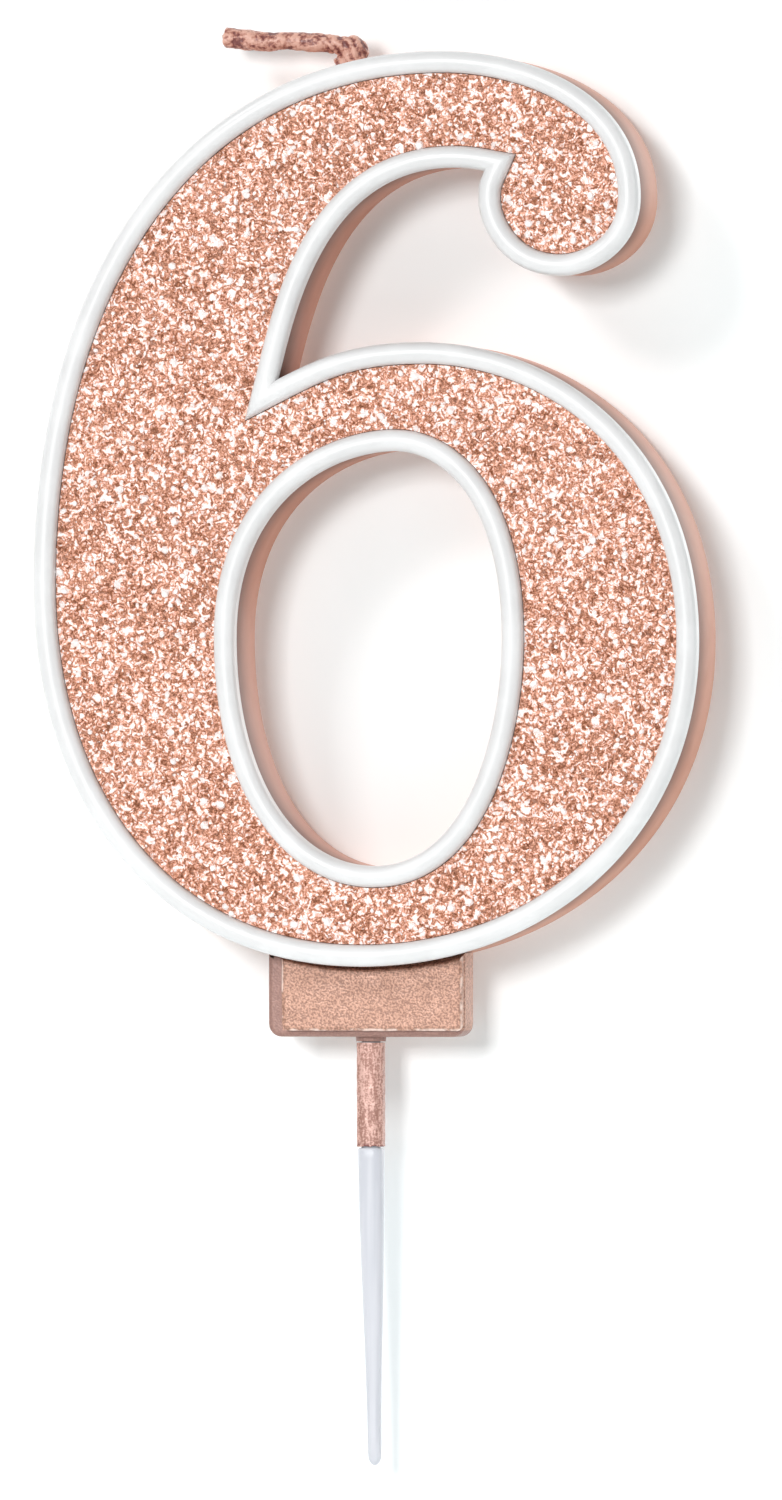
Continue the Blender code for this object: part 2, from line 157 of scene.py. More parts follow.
def trace(knots: tuple[Knot, ...], step: float) -> Loop:
    """Walk a closed curve in nearly even steps.

    Args:
        knots: the curve's knots, in millimetres.
        step: the distance between two points, in metres.

    Returns:
        The points as (x, z) pairs in metres.
    """
    points: Loop = []
    for start, end in zip(knots, knots[1:] + knots[:1]):
        fine = curve(start, end, 64)
        lengths = np.cumsum([0.0] + [(b - a).length for a, b in zip(fine, fine[1:])])
        count = max(3, round(lengths[-1] / step))
        even = np.linspace(0.0, lengths[-1], count, endpoint=False)
        xs = np.interp(even, lengths, [p.x for p in fine])
        zs = np.interp(even, lengths, [p.z for p in fine])
        points.extend(zip(xs.tolist(), zs.tolist()))
    return points


def offset(loop: Loop, distance: float) -> Loop:
    """Move a closed loop to the left of its own direction, with mitred corners.

    Args:
        loop: the points to move.
        distance: how far to move them, in metres.

    Returns:
        The moved points, one for each point of the loop.
    """
    here = np.array(loop)
    into = here - np.roll(here, 1, axis=0)
    into /= np.linalg.norm(into, axis=1, keepdims=True)
    out = np.roll(into, -1, axis=0)
    left_in = np.stack((-into[:, 1], into[:, 0]), axis=1)
    left_out = np.stack((-out[:, 1], out[:, 0]), axis=1)
    mitre = left_in + left_out
    mitre /= np.linalg.norm(mitre, axis=1, keepdims=True)
    reach = distance / (mitre * left_in).sum(axis=1, keepdims=True)
    return [tuple(point) for point in (here + mitre * reach).tolist()]


@dataclass
class NumeralOutline:
    """The numeral's two edges, which can be drawn in towards the wax."""

    step: float = 0.45 * MM
    edges: dict[Edge, Loop] = field(init=False)

    def __post_init__(self) -> None:
        """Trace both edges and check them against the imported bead's box."""
        self.edges = {edge: trace(knots, self.step) for edge, knots in NUMERAL_KNOTS.items()}
        low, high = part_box("outline_bead")
        xs, zs = zip(*self.edges[Edge.OUTER])
        gap = max(abs(min(xs) - low.x), abs(max(xs) - high.x), abs(max(zs) - high.z))
        if gap > 0.1 * MM:
            raise ValueError(f"the outline misses the packed bead by {gap / MM:.2f} mm")

    def inset(self, edge: Edge, distance: float) -> Loop:
        """One edge, drawn into the wax by a distance."""
        return offset(self.edges[edge], edge.value * distance)


def inside(points: np.ndarray, loop: Loop) -> np.ndarray:
    """Tell which points lie inside a closed loop.

    Args:
        points: an array of (x, z) rows.
        loop: the closed loop.

    Returns:
        A boolean for each point.
    """
    corners = np.array(loop)
    ends = np.roll(corners, -1, axis=0)
    within = np.zeros(len(points), bool)
    for (x0, z0), (x1, z1) in zip(corners, ends):
        spans = (z0 > points[:, 1]) != (z1 > points[:, 1])
        crossing = x0 + (points[:, 1] - z0) * (x1 - x0) / (z1 - z0 if z1 != z0 else 1.0)
        within ^= spans & (points[:, 0] < crossing)
    return within


# Mesh tools

def ring_edges(verts: list[bmesh.types.BMVert]) -> list[bmesh.types.BMEdge]:
    """The edges that join each vertex of a closed ring to the next, always in one order."""
    chosen = set(verts)
    edges = dict.fromkeys(edge for vert in verts for edge in vert.link_edges)
    return [edge for edge in edges if set(edge.verts) <= chosen]


def first_ring(mesh: bmesh.types.BMesh, places: list[Vector]) -> list[bmesh.types.BMVert]:
    """Start a sweep with a closed ring of vertices.

    Args:
        mesh: the mesh to add to.
        places: where the ring's vertices go.

    Returns:
        The ring's vertices in order.
    """
    verts = bmesh.ops.create_circle(mesh, segments=len(places), radius=1.0)["verts"]
    for vert, place in zip(verts, places):
        vert.co = place
    return verts


def next_ring(
    mesh: bmesh.types.BMesh, verts: list[bmesh.types.BMVert], places: list[Vector]
) -> list[bmesh.types.BMVert]:
    """Extrude a ring's edges and put the new ring in its place.

    Args:
        mesh: the mesh to add to.
        verts: the ring to extrude.
        places: where the new ring's vertices go, in the same order.

    Returns:
        The new ring's vertices in order.
    """
    made = bmesh.ops.extrude_edge_only(mesh, edges=ring_edges(verts))["geom"]
    fresh = {item for item in made if isinstance(item, bmesh.types.BMVert)}
    following = []
    for vert, place in zip(verts, places):
        partner = next(e.other_vert(vert) for e in vert.link_edges if e.other_vert(vert) in fresh)
        partner.co = place
        following.append(partner)
    return following


def sweep(mesh: bmesh.types.BMesh, rings: list[list[Vector]], closed: bool = False) -> tuple:
    """Join rings of places into one skin.

    Args:
        mesh: the mesh to add to.
        rings: the places of each ring, all with as many points.
        closed: whether the last ring is joined to the first.

    Returns:
        The first and the last ring's vertices.
    """
    start = first_ring(mesh, rings[0])
    last = start
    for places in rings[1:]:
        last = next_ring(mesh, last, places)
    if closed:
        last = next_ring(mesh, last, rings[0])
        bmesh.ops.remove_doubles(mesh, verts=start + last, dist=MM * 1e-4)
    return start, last


def cap(mesh: bmesh.types.BMesh, *rings: list[bmesh.types.BMVert]) -> None:
    """Fill the flat region that one ring bounds, or that lies between two."""
    edges = [edge for ring in rings for edge in ring_edges(ring)]
    bmesh.ops.triangle_fill(mesh, use_beauty=True, edges=edges)


def at_depth(loop: Loop, y: float) -> list[Vector]:
    """A loop of (x, z) points as places on one Y plane."""
    return [Vector((x, y, z)) for x, z in loop]


def finished(
    mesh: bmesh.types.BMesh, name: str, sharp: float = 35.0, turn_out: bool = True
) -> bpy.types.Object:
    """Turn a finished bmesh into a piece.

    Args:
        mesh: the closed mesh, which is freed.
        name: the piece's name.
        sharp: the angle in degrees past which an edge stays crisp.
        turn_out: whether the faces still have to be turned to face out.

    Returns:
        The piece, linked into the scene and standing at the origin.
    """
    if turn_out:
        bmesh.ops.recalc_face_normals(mesh, faces=mesh.faces)
    data = bpy.data.meshes.new(name)
    mesh.to_mesh(data)
    mesh.free()
    data.shade_smooth()
    data.set_sharp_from_angle(angle=math.radians(sharp))
    piece = bpy.data.objects.new(name, data)
    bpy.context.scene.collection.objects.link(piece)
    return piece


def fit(piece: bpy.types.Object, body: str, finish: bpy.types.Material) -> None:
    """Dress a piece and let it ride on a body.

    Args:
        piece: the piece.
        body: the body that it rides on.
        finish: its material.
    """
    piece.data.materials.clear()
    piece.data.materials.append(finish)
    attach(piece, body)
    log.info("%s: %d faces on %s", piece.name, len(piece.data.polygons), body)


def stand_in(
    mesh: bmesh.types.BMesh,
    name: str,
    node: str,
    finish: bpy.types.Material,
    sharp: float = 35.0,
) -> bpy.types.Object:
    """Turn a finished bmesh into the candle's visible piece for one CAD node.

    Args:
        mesh: the closed mesh, which is freed.
        name: the piece's name.
        node: the CAD node that it replaces.
        finish: its material.
        sharp: the angle in degrees past which an edge stays crisp.

    Returns:
        The piece.
    """
    piece = finished(mesh, name, sharp)
    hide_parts(node)
    fit(piece, "candle", finish)
    return piece


# Materials

def linear(red: float, green: float, blue: float) -> tuple[float, float, float, float]:
    """Put a colour into the renderer's own values.

    Args:
        red: the red share, a screen value from 0 to 255.
        green: the green share.
        blue: the blue share.

    Returns:
        The linear colour with full alpha.
    """
    parts = []
    for part in (red / 255, green / 255, blue / 255):
        parts.append(part / 12.92 if part <= 0.04045 else ((part + 0.055) / 1.055) ** 2.4)
    return (*parts, 1.0)


class Graph:
    """A thin layer over a node tree that adds nodes and links in one call."""

    def __init__(self, tree: Nodes) -> None:
        """Work on one node tree."""
        self.tree = tree

    def add(self, kind: str, settings: dict | None = None, **inputs: object) -> bpy.types.Node:
        """Add a node.

        Args:
            kind: the node's Blender type.
            settings: properties to set on the node.
            **inputs: a value or a socket for each named input, with _ for a space.

        Returns:
            The new node.
        """
        node = self.tree.nodes.new(kind)
        for name, value in (settings or {}).items():
            setattr(node, name, value)
        for name, value in inputs.items():
            socket = node.inputs[name.replace("_", " ")]
            self.feed(socket, value)
        return node

    def feed(self, socket: Socket, value: object) -> None:
        """Feed an input.

        Args:
            socket: the input.
            value: the socket to link into it, or its plain value.
        """
        if isinstance(value, bpy.types.NodeSocket):
            self.tree.links.new(value, socket)
        else:
            socket.default_value = value

    def math(self, operation: str, first: object, second: object = 0.0) -> Socket:
        """Add a Math node.

        Args:
            operation: what it does.
            first: its first socket or number.
            second: its second socket or number.

        Returns:
            Its result.
        """
        node = self.add("ShaderNodeMath", {"operation": operation})
        self.feed(node.inputs[0], first)
        self.feed(node.inputs[1], second)
        return node.outputs[0]

    def ramp(self, value: Socket, stops: tuple[tuple[float, tuple], ...]) -> Socket:
        """Add a colour ramp.

        Args:
            value: the socket that drives the ramp.
            stops: the places from 0 to 1 and their screen colours, in order.

        Returns:
            The ramp's colour output.
        """
        node = self.add("ShaderNodeValToRGB", Fac=value)
        elements = node.color_ramp.elements
        while len(elements) < len(stops):
            elements.new(0.5)
        for element, (place, colour) in zip(elements, stops):
            element.position = place
            element.color = linear(*colour)
        return node.outputs["Color"]

    def mix(self, share: object, first: object, second: object) -> Socket:
        """Mix two colours.

        Args:
            share: the second colour's share.
            first: a socket, or screen values.
            second: a socket, or screen values.

        Returns:
            The mixed colour.
        """
        node = self.add("ShaderNodeMix", {"data_type": "RGBA"})
        self.feed(node.inputs[0], share)
        for index, colour in ((6, first), (7, second)):
            self.feed(node.inputs[index], linear(*colour) if isinstance(colour, tuple) else colour)
        return node.outputs[2]

    def span(self, value: Socket, low: float, high: float, to_low: float, to_high: float) -> Socket:
        """Move a value from one span to another, eased and held inside it.

        Args:
            value: the socket to move.
            low: the lower end of its own span.
            high: the upper end of its own span.
            to_low: what the lower end becomes.
            to_high: what the upper end becomes.

        Returns:
            The moved value.
        """
        node = self.add("ShaderNodeMapRange", {"interpolation_type": "SMOOTHSTEP"}, Value=value)
        for index, number in enumerate((low, high, to_low, to_high), start=1):
            node.inputs[index].default_value = number
        return node.outputs[0]


class NodeGroups:
    """The shader node groups that several finishes share, each built once."""

    _built: dict[str, bpy.types.NodeTree] = {}

    @classmethod
    def _new(cls, name: str, inputs: dict[str, float], outputs: tuple[str, ...]) -> Nodes:
        """Make an empty group with a Vector input.

        Args:
            name: the group's name.
            inputs: its value inputs and what they start at.
            outputs: the names of its value outputs.

        Returns:
            The group's node tree.
        """
        tree = bpy.data.node_groups.new(name, "ShaderNodeTree")
        tree.interface.new_socket("Vector", in_out="INPUT", socket_type="NodeSocketVector")
        for label, value in inputs.items():
            socket = tree.interface.new_socket(label, in_out="INPUT", socket_type="NodeSocketFloat")
            socket.default_value = value
        for label in outputs:
            tree.interface.new_socket(label, in_out="OUTPUT", socket_type="NodeSocketFloat")
        cls._built[name] = tree
        return tree

    @classmethod
    def squiggle(cls) -> Nodes:
        """Winding lines: 0 on a line, rising to 1 one width away from it and beyond.

        Returns:
            The group's node tree.
        """
        if "squiggle" in cls._built:
            return cls._built["squiggle"]
        tree = cls._new("squiggle", {"Scale": 1000.0, "Width": 0.1}, ("Apart",))
        graph = Graph(tree)
        given = graph.add("NodeGroupInput").outputs
        wave = graph.add(
            "ShaderNodeTexNoise",
            Vector=given["Vector"],
            Scale=given["Scale"],
            Detail=1.0,
            Roughness=0.5,
            Distortion=0.7,
        )
        apart = graph.math("ABSOLUTE", graph.math("SUBTRACT", wave.outputs["Fac"], 0.5))
        out = graph.add("NodeGroupOutput")
        graph.feed(out.inputs["Apart"], graph.math("DIVIDE", apart, given["Width"]))
        return tree

    @classmethod
    def painted_sparkle(cls) -> Nodes:
        """The painted sparkle of strewn fine glitter: a tone from 0 in its winding gaps to 1 on a
        painted flash.

        Returns:
            The group's node tree.
        """
        if "painted_sparkle" in cls._built:
            return cls._built["painted_sparkle"]
        tree = cls._new("painted_sparkle", {"Wide": 1750.0, "Fine": 3800.0, "Patch": 600.0}, ("Tone",))
        graph = Graph(tree)
        given = graph.add("NodeGroupInput").outputs
        place = given["Vector"]
        wide = graph.add("ShaderNodeGroup", {"node_tree": cls.squiggle()}, Vector=place)
        graph.feed(wide.inputs["Scale"], given["Wide"])
        wide.inputs["Width"].default_value = 0.14
        fine = graph.add("ShaderNodeGroup", {"node_tree": cls.squiggle()}, Vector=place)
        graph.feed(fine.inputs["Scale"], given["Fine"])
        fine.inputs["Width"].default_value = 0.16
        patch = graph.add("ShaderNodeTexNoise", Vector=place, Scale=given["Patch"], Detail=1.0)
        share = graph.span(patch.outputs["Fac"], 0.35, 0.65, -0.06, 0.06)
        both = graph.math("ADD", graph.math("MULTIPLY", wide.outputs["Apart"], 0.6), share)
        tone = graph.math("ADD", both, graph.math("MULTIPLY", fine.outputs["Apart"], 0.4))
        out = graph.add("NodeGroupOutput")
        graph.feed(out.inputs["Tone"], tone)
        return tree

    @classmethod
    def grain(cls) -> Nodes:
        """Fine even grain with a slower mottle under it.

        Returns:
            The group's node tree.
        """
        if "grain" in cls._built:
            return cls._built["grain"]
        tree = cls._new("grain", {"Scale": 4000.0, "Mottle": 300.0}, ("Grain", "Mottle"))
        graph = Graph(tree)
        given = graph.add("NodeGroupInput").outputs
        fine = graph.add(
            "ShaderNodeTexNoise", Vector=given["Vector"], Scale=given["Scale"], Detail=2.0
        )
        slow = graph.add(
            "ShaderNodeTexNoise", Vector=given["Vector"], Scale=given["Mottle"], Detail=3.0
        )
        out = graph.add("NodeGroupOutput")
        graph.feed(out.inputs["Grain"], fine.outputs["Fac"])
        graph.feed(out.inputs["Mottle"], slow.outputs["Fac"])
        return tree


class Finish:
    """A material under construction: its graph, its shader and its object coordinates."""

    def __init__(self, name: str, roughness: float, metallic: float = 0.0) -> None:
        """Start a Principled material.

        Args:
            name: the material's name.
            roughness: its roughness, where no noise runs it.
            metallic: its metallic value.
        """
        self.material = bpy.data.materials.new(name)
        self.material.use_nodes = True
        self.graph = Graph(self.material.node_tree)
        self.shader = self.material.node_tree.nodes["Principled BSDF"]
        self.shader.inputs["Roughness"].default_value = roughness
        self.shader.inputs["Metallic"].default_value = metallic
        self.place = self.graph.add("ShaderNodeTexCoord").outputs["Object"]

    def group(self, tree: Nodes, **values: float) -> bpy.types.Node:
        """Place a shared node group on the object coordinates.

        Args:
            tree: the group.
            **values: its value inputs.

        Returns:
            The placed node.
        """
        node = self.graph.add("ShaderNodeGroup", {"node_tree": tree}, Vector=self.place)
        for name, value in values.items():
            node.inputs[name].default_value = value
        return node

    def colour(self, value: object) -> None:
        """Feed the base colour."""
        self.graph.feed(self.shader.inputs["Base Color"], value)

    def rough(self, noise_value: Socket, low: float, high: float) -> None:
        """Let a noise's middle range run the roughness from a low to a high value."""
        self.graph.feed(
            self.shader.inputs["Roughness"], self.graph.span(noise_value, 0.3, 0.7, low, high)
        )

    def bump(self, height: Socket, distance: float, strength: float = 1.0) -> None:
        """Feed the normal from a height.

        Args:
            height: the height, from 0 to 1.
            distance: how deep it goes, in metres.
            strength: how much of it shows.
        """
        node = self.graph.add(
            "ShaderNodeBump", Height=height, Distance=distance, Strength=strength
        )
        self.graph.feed(self.shader.inputs["Normal"], node.outputs["Normal"])


@dataclass(frozen=True)
class WhiteWax:
    """Satin white wax of the raised beads, very slightly mottled."""

    colour: tuple = (229, 229, 229)
    shade: tuple = (222, 222, 222)
    roughness: float = 0.42

    def build(self) -> bpy.types.Material:
        """Make the material.

        Returns:
            The material.
        """
        finish = Finish("white_wax", self.roughness)
        grain = finish.group(NodeGroups.grain(), Scale=2200.0, Mottle=260.0)
        share = finish.graph.span(grain.outputs["Mottle"], 0.35, 0.65, 0.0, 1.0)
        finish.colour(finish.graph.mix(share, self.shade, self.colour))
        finish.rough(grain.outputs["Mottle"], 0.36, 0.48)
        finish.bump(grain.outputs["Grain"], 0.02 * MM, 0.5)
        finish.shader.inputs["Coat Weight"].default_value = 0.15
        finish.shader.inputs["Coat Roughness"].default_value = 0.25
        return finish.material


@dataclass(frozen=True)
class RoseWax:
    """Dyed wax of the numeral's body: smooth, with painted shade that darkens it towards the bead.
    """

    colour: tuple = (204, 146, 122)
    # deep tints the mottle and is also the colour of the painted shade near the bead
    deep: tuple = (112, 76, 64)
    # the painted shade is darkest at front and fades out over fade towards the back
    front: float = -4.4 * MM
    fade: float = 6.6 * MM

    def build(self) -> bpy.types.Material:
        """Make the material.

        Returns:
            The material.
        """
        finish = Finish("rose_wax", 0.45)
        graph = finish.graph
        grain = finish.group(NodeGroups.grain(), Scale=1500.0, Mottle=180.0)
        depth = graph.add("ShaderNodeSeparateXYZ", Vector=finish.place).outputs["Y"]
        # painted shade: the wall darkens towards the front, where the bead sits on it
        under = graph.span(depth, self.front, self.front + self.fade, 1.0, 0.0)
        mottle = graph.span(grain.outputs["Mottle"], 0.3, 0.7, 0.0, 0.12)
        plain = graph.mix(mottle, self.colour, self.deep)
        finish.colour(graph.mix(under, plain, self.deep))
        finish.rough(grain.outputs["Mottle"], 0.38, 0.52)
        finish.bump(grain.outputs["Mottle"], 0.03 * MM, 0.6)
        finish.shader.inputs["Specular IOR Level"].default_value = 0.25
        return finish.material


@dataclass(frozen=True)
class GlitterFinish:
    """Rose gold glitter of one tone: winding copper lines round pale flashes, which are painted
    sparkle.
    """

    name: str
    lift: float = 0.0
    roughness: float = 0.35
    metallic: float = 0.1
    relief: float = 0.05 * MM
    stops: tuple = (
        (0.10, (132, 78, 50)),
        (0.32, (180, 115, 83)),
        (0.54, (215, 151, 124)),
        (0.76, (241, 192, 176)),
        (1.00, (255, 244, 241)),
    )

    def build(self) -> bpy.types.Material:
        """Make the material.

        Returns:
            The material.
        """
        finish = Finish(self.name, self.roughness, self.metallic)
        graph = finish.graph
        # painted sparkle: pale flashes in the base colour stand in for light glinting off the
        # flakes
        tone = finish.group(NodeGroups.painted_sparkle()).outputs["Tone"]
        lifted = graph.math("ADD", tone, self.lift)
        finish.colour(graph.ramp(lifted, self.stops))
        finish.bump(tone, self.relief, 0.6)
        return finish.material


@dataclass(frozen=True)
class PearlWax:
    """Wax full of fine pearl dust: mauve outside the foot's pad, with a painted highlight along the
    pad's edge.
    """

    light: tuple = (206, 158, 136)
    deep: tuple = (152, 112, 95)
    mauve: tuple = (146, 112, 105)
    # colour of the painted highlight along the pad's edges
    painted_highlight: tuple = (250, 226, 214)
    pad_left: float = -6.50 * MM
    pad_right: float = 7.55 * MM
    pad_bottom: float = 0.55 * MM
    # width of the painted highlight lines
    line: float = 0.16 * MM

    def edge(self, graph: Graph, along: Socket, place: float) -> Socket:
        """Draw a thin line of painted highlight across one axis.

        Args:
            graph: the material's graph.
            along: the coordinate along that axis.
            place: where the line lies.

        Returns:
            A mask, 1 on the line and 0 beside it.
        """
        apart = graph.math("ABSOLUTE", graph.math("SUBTRACT", along, place))
        return graph.span(apart, 0.0, self.line, 1.0, 0.0)

    def build(self) -> bpy.types.Material:
        """Make the material.

        Returns:
            The material.
        """
        finish = Finish("pearl_wax", 0.42, 0.15)
        graph = finish.graph
        grain = finish.group(NodeGroups.grain(), Scale=6000.0, Mottle=1100.0)
        dust = graph.span(grain.outputs["Grain"], 0.36, 0.64, 0.0, 1.0)
        axes = graph.add("ShaderNodeSeparateXYZ", Vector=finish.place).outputs
        left = graph.span(axes["X"], self.pad_left - 0.1 * MM, self.pad_left, 1.0, 0.0)
        low = graph.span(axes["Z"], self.pad_bottom - 0.1 * MM, self.pad_bottom, 1.0, 0.0)
        ahead = graph.span(axes["Y"], -2.1 * MM, -1.9 * MM, 1.0, 0.0)
        pearl = graph.mix(dust, self.deep, self.light)
        outside = graph.math("MULTIPLY", graph.math("MAXIMUM", left, low), 0.8)
        toned = graph.mix(outside, pearl, self.mauve)
        # painted highlight: thin pale lines on the pad's left, right and lower edges, broken by the
        # mottle
        lines = self.edge(graph, axes["X"], self.pad_left)
        lines = graph.math("MAXIMUM", lines, self.edge(graph, axes["X"], self.pad_right))
        lines = graph.math("MAXIMUM", lines, self.edge(graph, axes["Z"], self.pad_bottom))
        broken = graph.span(grain.outputs["Mottle"], 0.42, 0.6, 0.0, 0.85)
        lines = graph.math("MULTIPLY", graph.math("MULTIPLY", lines, broken), ahead)
        finish.colour(graph.mix(lines, toned, self.painted_highlight))
        finish.rough(grain.outputs["Mottle"], 0.36, 0.48)
        finish.bump(grain.outputs["Grain"], 0.05 * MM, 0.7)
        return finish.material


@dataclass(frozen=True)
class RoseFoil:
    """The metallic rose gold dip coat on the upper pick, streaked along its length."""

    light: tuple = (214, 172, 160)
    deep: tuple = (158, 114, 101)
    stain: tuple = (108, 52, 48)
    lip_z: float = -8.4 * MM

    def build(self) -> bpy.types.Material:
        """Make the material.

        Returns:
            The material.
        """
        finish = Finish("rose_foil", 0.42, 0.15)
        graph = finish.graph
        drawn = graph.add("ShaderNodeMapping", Vector=finish.place)
        drawn.inputs["Scale"].default_value = (1.0, 1.0, 0.16)
        streaks = graph.add(
            "ShaderNodeTexNoise", Vector=drawn.outputs["Vector"], Scale=5200.0, Detail=2.0
        )
        grain = finish.group(NodeGroups.grain(), Scale=6500.0, Mottle=2400.0)
        share = graph.math("ADD", streaks.outputs["Fac"], grain.outputs["Grain"])
        share = graph.span(share, 0.82, 1.18, 0.0, 1.0)
        coat = graph.mix(share, self.deep, self.light)
        height = graph.add("ShaderNodeSeparateXYZ", Vector=finish.place).outputs["Z"]
        low = graph.span(height, self.lip_z, self.lip_z + 0.35 * MM, 1.0, 0.0)
        stain = graph.span(grain.outputs["Mottle"], 0.46, 0.56, 0.0, 1.0)
        finish.colour(graph.mix(graph.math("MULTIPLY", low, stain), coat, self.stain))
        finish.rough(grain.outputs["Mottle"], 0.34, 0.5)
        finish.bump(grain.outputs["Grain"], 0.04 * MM, 0.7)
        return finish.material


@dataclass(frozen=True)
class FrostedPlastic:
    """The pick's frosted white plastic, faintly blue, with soft flow lines."""

    light: tuple = (206, 207, 213)
    deep: tuple = (196, 198, 205)

    def build(self) -> bpy.types.Material:
        """Make the material.

        Returns:
            The material.
        """
        finish = Finish("pick_plastic", 0.34)
        graph = finish.graph
        drawn = graph.add("ShaderNodeMapping", Vector=finish.place)
        drawn.inputs["Scale"].default_value = (1.0, 1.0, 0.05)
        flow = graph.add(
            "ShaderNodeTexNoise", Vector=drawn.outputs["Vector"], Scale=1400.0, Detail=2.0
        )
        share = graph.span(flow.outputs["Fac"], 0.35, 0.65, 0.0, 1.0)
        finish.colour(graph.mix(share, self.deep, self.light))
        finish.rough(flow.outputs["Fac"], 0.28, 0.42)
        finish.bump(flow.outputs["Fac"], 0.01 * MM, 0.5)
        finish.shader.inputs["Specular IOR Level"].default_value = 0.35
        return finish.material


@dataclass(frozen=True)
class WickWax:
    """Copper-coloured wax over cotton, with painted shade in its creases and a painted highlight on
    its ridges.
    """

    # ridge is a painted highlight, flat the wax's own colour, crease painted shade
    ridge_highlight: tuple = (224, 174, 156)
    flat: tuple = (184, 126, 110)
    crease_shade: tuple = (124, 70, 66)

    def build(self) -> bpy.types.Material:
        """Make the material.

        Returns:
            The material.
        """
        finish = Finish("wick_wax", 0.45, 0.0)
        graph = finish.graph
        relief = graph.add("ShaderNodeAttribute", {"attribute_name": "relief"}).outputs["Fac"]
        grain = finish.group(NodeGroups.grain(), Scale=3800.0, Mottle=900.0)
        ragged = graph.math("ADD", relief, graph.math("MULTIPLY", grain.outputs["Mottle"], 0.5))
        flecks = graph.span(grain.outputs["Grain"], 0.3, 0.7, -0.22, 0.22)
        ragged = graph.math("ADD", ragged, flecks)
        # painted shade and highlight: the relief picks the crease or ridge colour, varied at random
        # by mottle and flecks
        stops = ((0.42, self.crease_shade), (0.66, self.flat), (0.92, self.ridge_highlight))
        finish.colour(graph.ramp(ragged, stops))
        finish.rough(grain.outputs["Mottle"], 0.32, 0.5)
        finish.bump(grain.outputs["Grain"], 0.05 * MM, 0.8)
        return finish.material


@dataclass(frozen=True)
class Cotton:
    """Twisted cotton yarn, waxed and slightly stained."""

    light: tuple = (226, 204, 188)
    deep: tuple = (186, 152, 134)

    def build(self) -> bpy.types.Material:
        """Make the material.

        Returns:
            The material.
        """
        finish = Finish("wick_cotton", 0.85)
        grain = finish.group(NodeGroups.grain(), Scale=6500.0, Mottle=1200.0)
        graph = finish.graph
        finish.colour(graph.mix(grain.outputs["Grain"], self.deep, self.light))
        finish.bump(grain.outputs["Grain"], 0.04 * MM, 0.8)
        return finish.material


# The numeral

@dataclass
class WaxBody:
    """The thick wax body behind the beads, with soft edges and a dished back."""

    outline: NumeralOutline
    inset: float = 0.15 * MM
    edge: float = 0.5 * MM
    edge_steps: int = 5
    rim: float = 0.9 * MM
    dish: float = 0.12 * MM

    def stations(self) -> list[tuple[float, float]]:
        """Shape the wall's section.

        Returns:
            Its (inset, y) pairs, from the front cap to the back cap.
        """
        low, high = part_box("numeral_body")
        turn = [math.pi / 2 * step / self.edge_steps for step in range(self.edge_steps + 1)]
        rounded = [(1 - math.sin(angle), 1 - math.cos(angle)) for angle in turn]
        front = [(self.inset + self.edge * a, low.y + self.edge * b) for a, b in rounded]
        back = [(self.inset + self.edge * a, high.y - self.edge * b) for a, b in reversed(rounded)]
        lead = [(self.inset + self.edge + 0.2 * MM, low.y)]
        sunk = [
            (self.inset + self.edge + 0.2 * MM, high.y),
            (self.inset + self.edge + self.rim, high.y - self.dish * 0.6),
            (self.inset + self.edge + 2 * self.rim, high.y - self.dish),
        ]
        return lead + front + back + sunk

    def build(self, finish: bpy.types.Material) -> bpy.types.Object:
        """Make the piece.

        Args:
            finish: its material.

        Returns:
            The piece.
        """
        mesh = bmesh.new()
        ends = []
        for edge in Edge:
            rings = [at_depth(self.outline.inset(edge, a), y) for a, y in self.stations()]
            ends.append(sweep(mesh, rings))
        cap(mesh, ends[0][0], ends[1][0])
        cap(mesh, ends[0][1], ends[1][1])
        return stand_in(mesh, "wax_body", "numeral_body", finish)


@dataclass
class WaxBead:
    """A raised white bead along one edge of the numeral."""

    outline: NumeralOutline
    edge: Edge
    node: str
    width: float = 1.65 * MM
    side: float = 0.35
    steps: int = 14

    def section(self) -> list[tuple[float, float]]:
        """Shape the bead's section.

        Returns:
            Its (distance from the edge, y) pairs, foot to foot.
        """
        low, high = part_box(self.node)
        height = high.y - low.y
        points = [(self.width, high.y), (self.width / 2, high.y), (0.0, high.y)]
        for step in range(self.steps + 1):
            angle = math.pi * step / self.steps
            rise = self.side + (1 - self.side) * math.sin(angle) ** 0.7
            points.append((self.width / 2 * (1 - math.cos(angle)), high.y - height * rise))
        return points

    def build(self, finish: bpy.types.Material) -> bpy.types.Object:
        """Make the piece.

        Args:
            finish: its material.

        Returns:
            The piece.
        """
        mesh = bmesh.new()
        rings = [at_depth(self.outline.inset(self.edge, a), y) for a, y in self.section()]
        sweep(mesh, rings, closed=True)
        return stand_in(mesh, f"{self.node}_white", self.node, finish, 50.0)


class Tone(Enum):
    """The tones of glitter flake, with each one's share of the flakes; the flash tone is a painted
    glint.
    """

    FLASH = 0.18
    BLUSH = 0.36
    COPPER = 0.46


@dataclass(frozen=True)
class FlakeSize:
    """One cut of glitter flake."""

    radius: float
    spread: float
    spacing: float
    sides: int


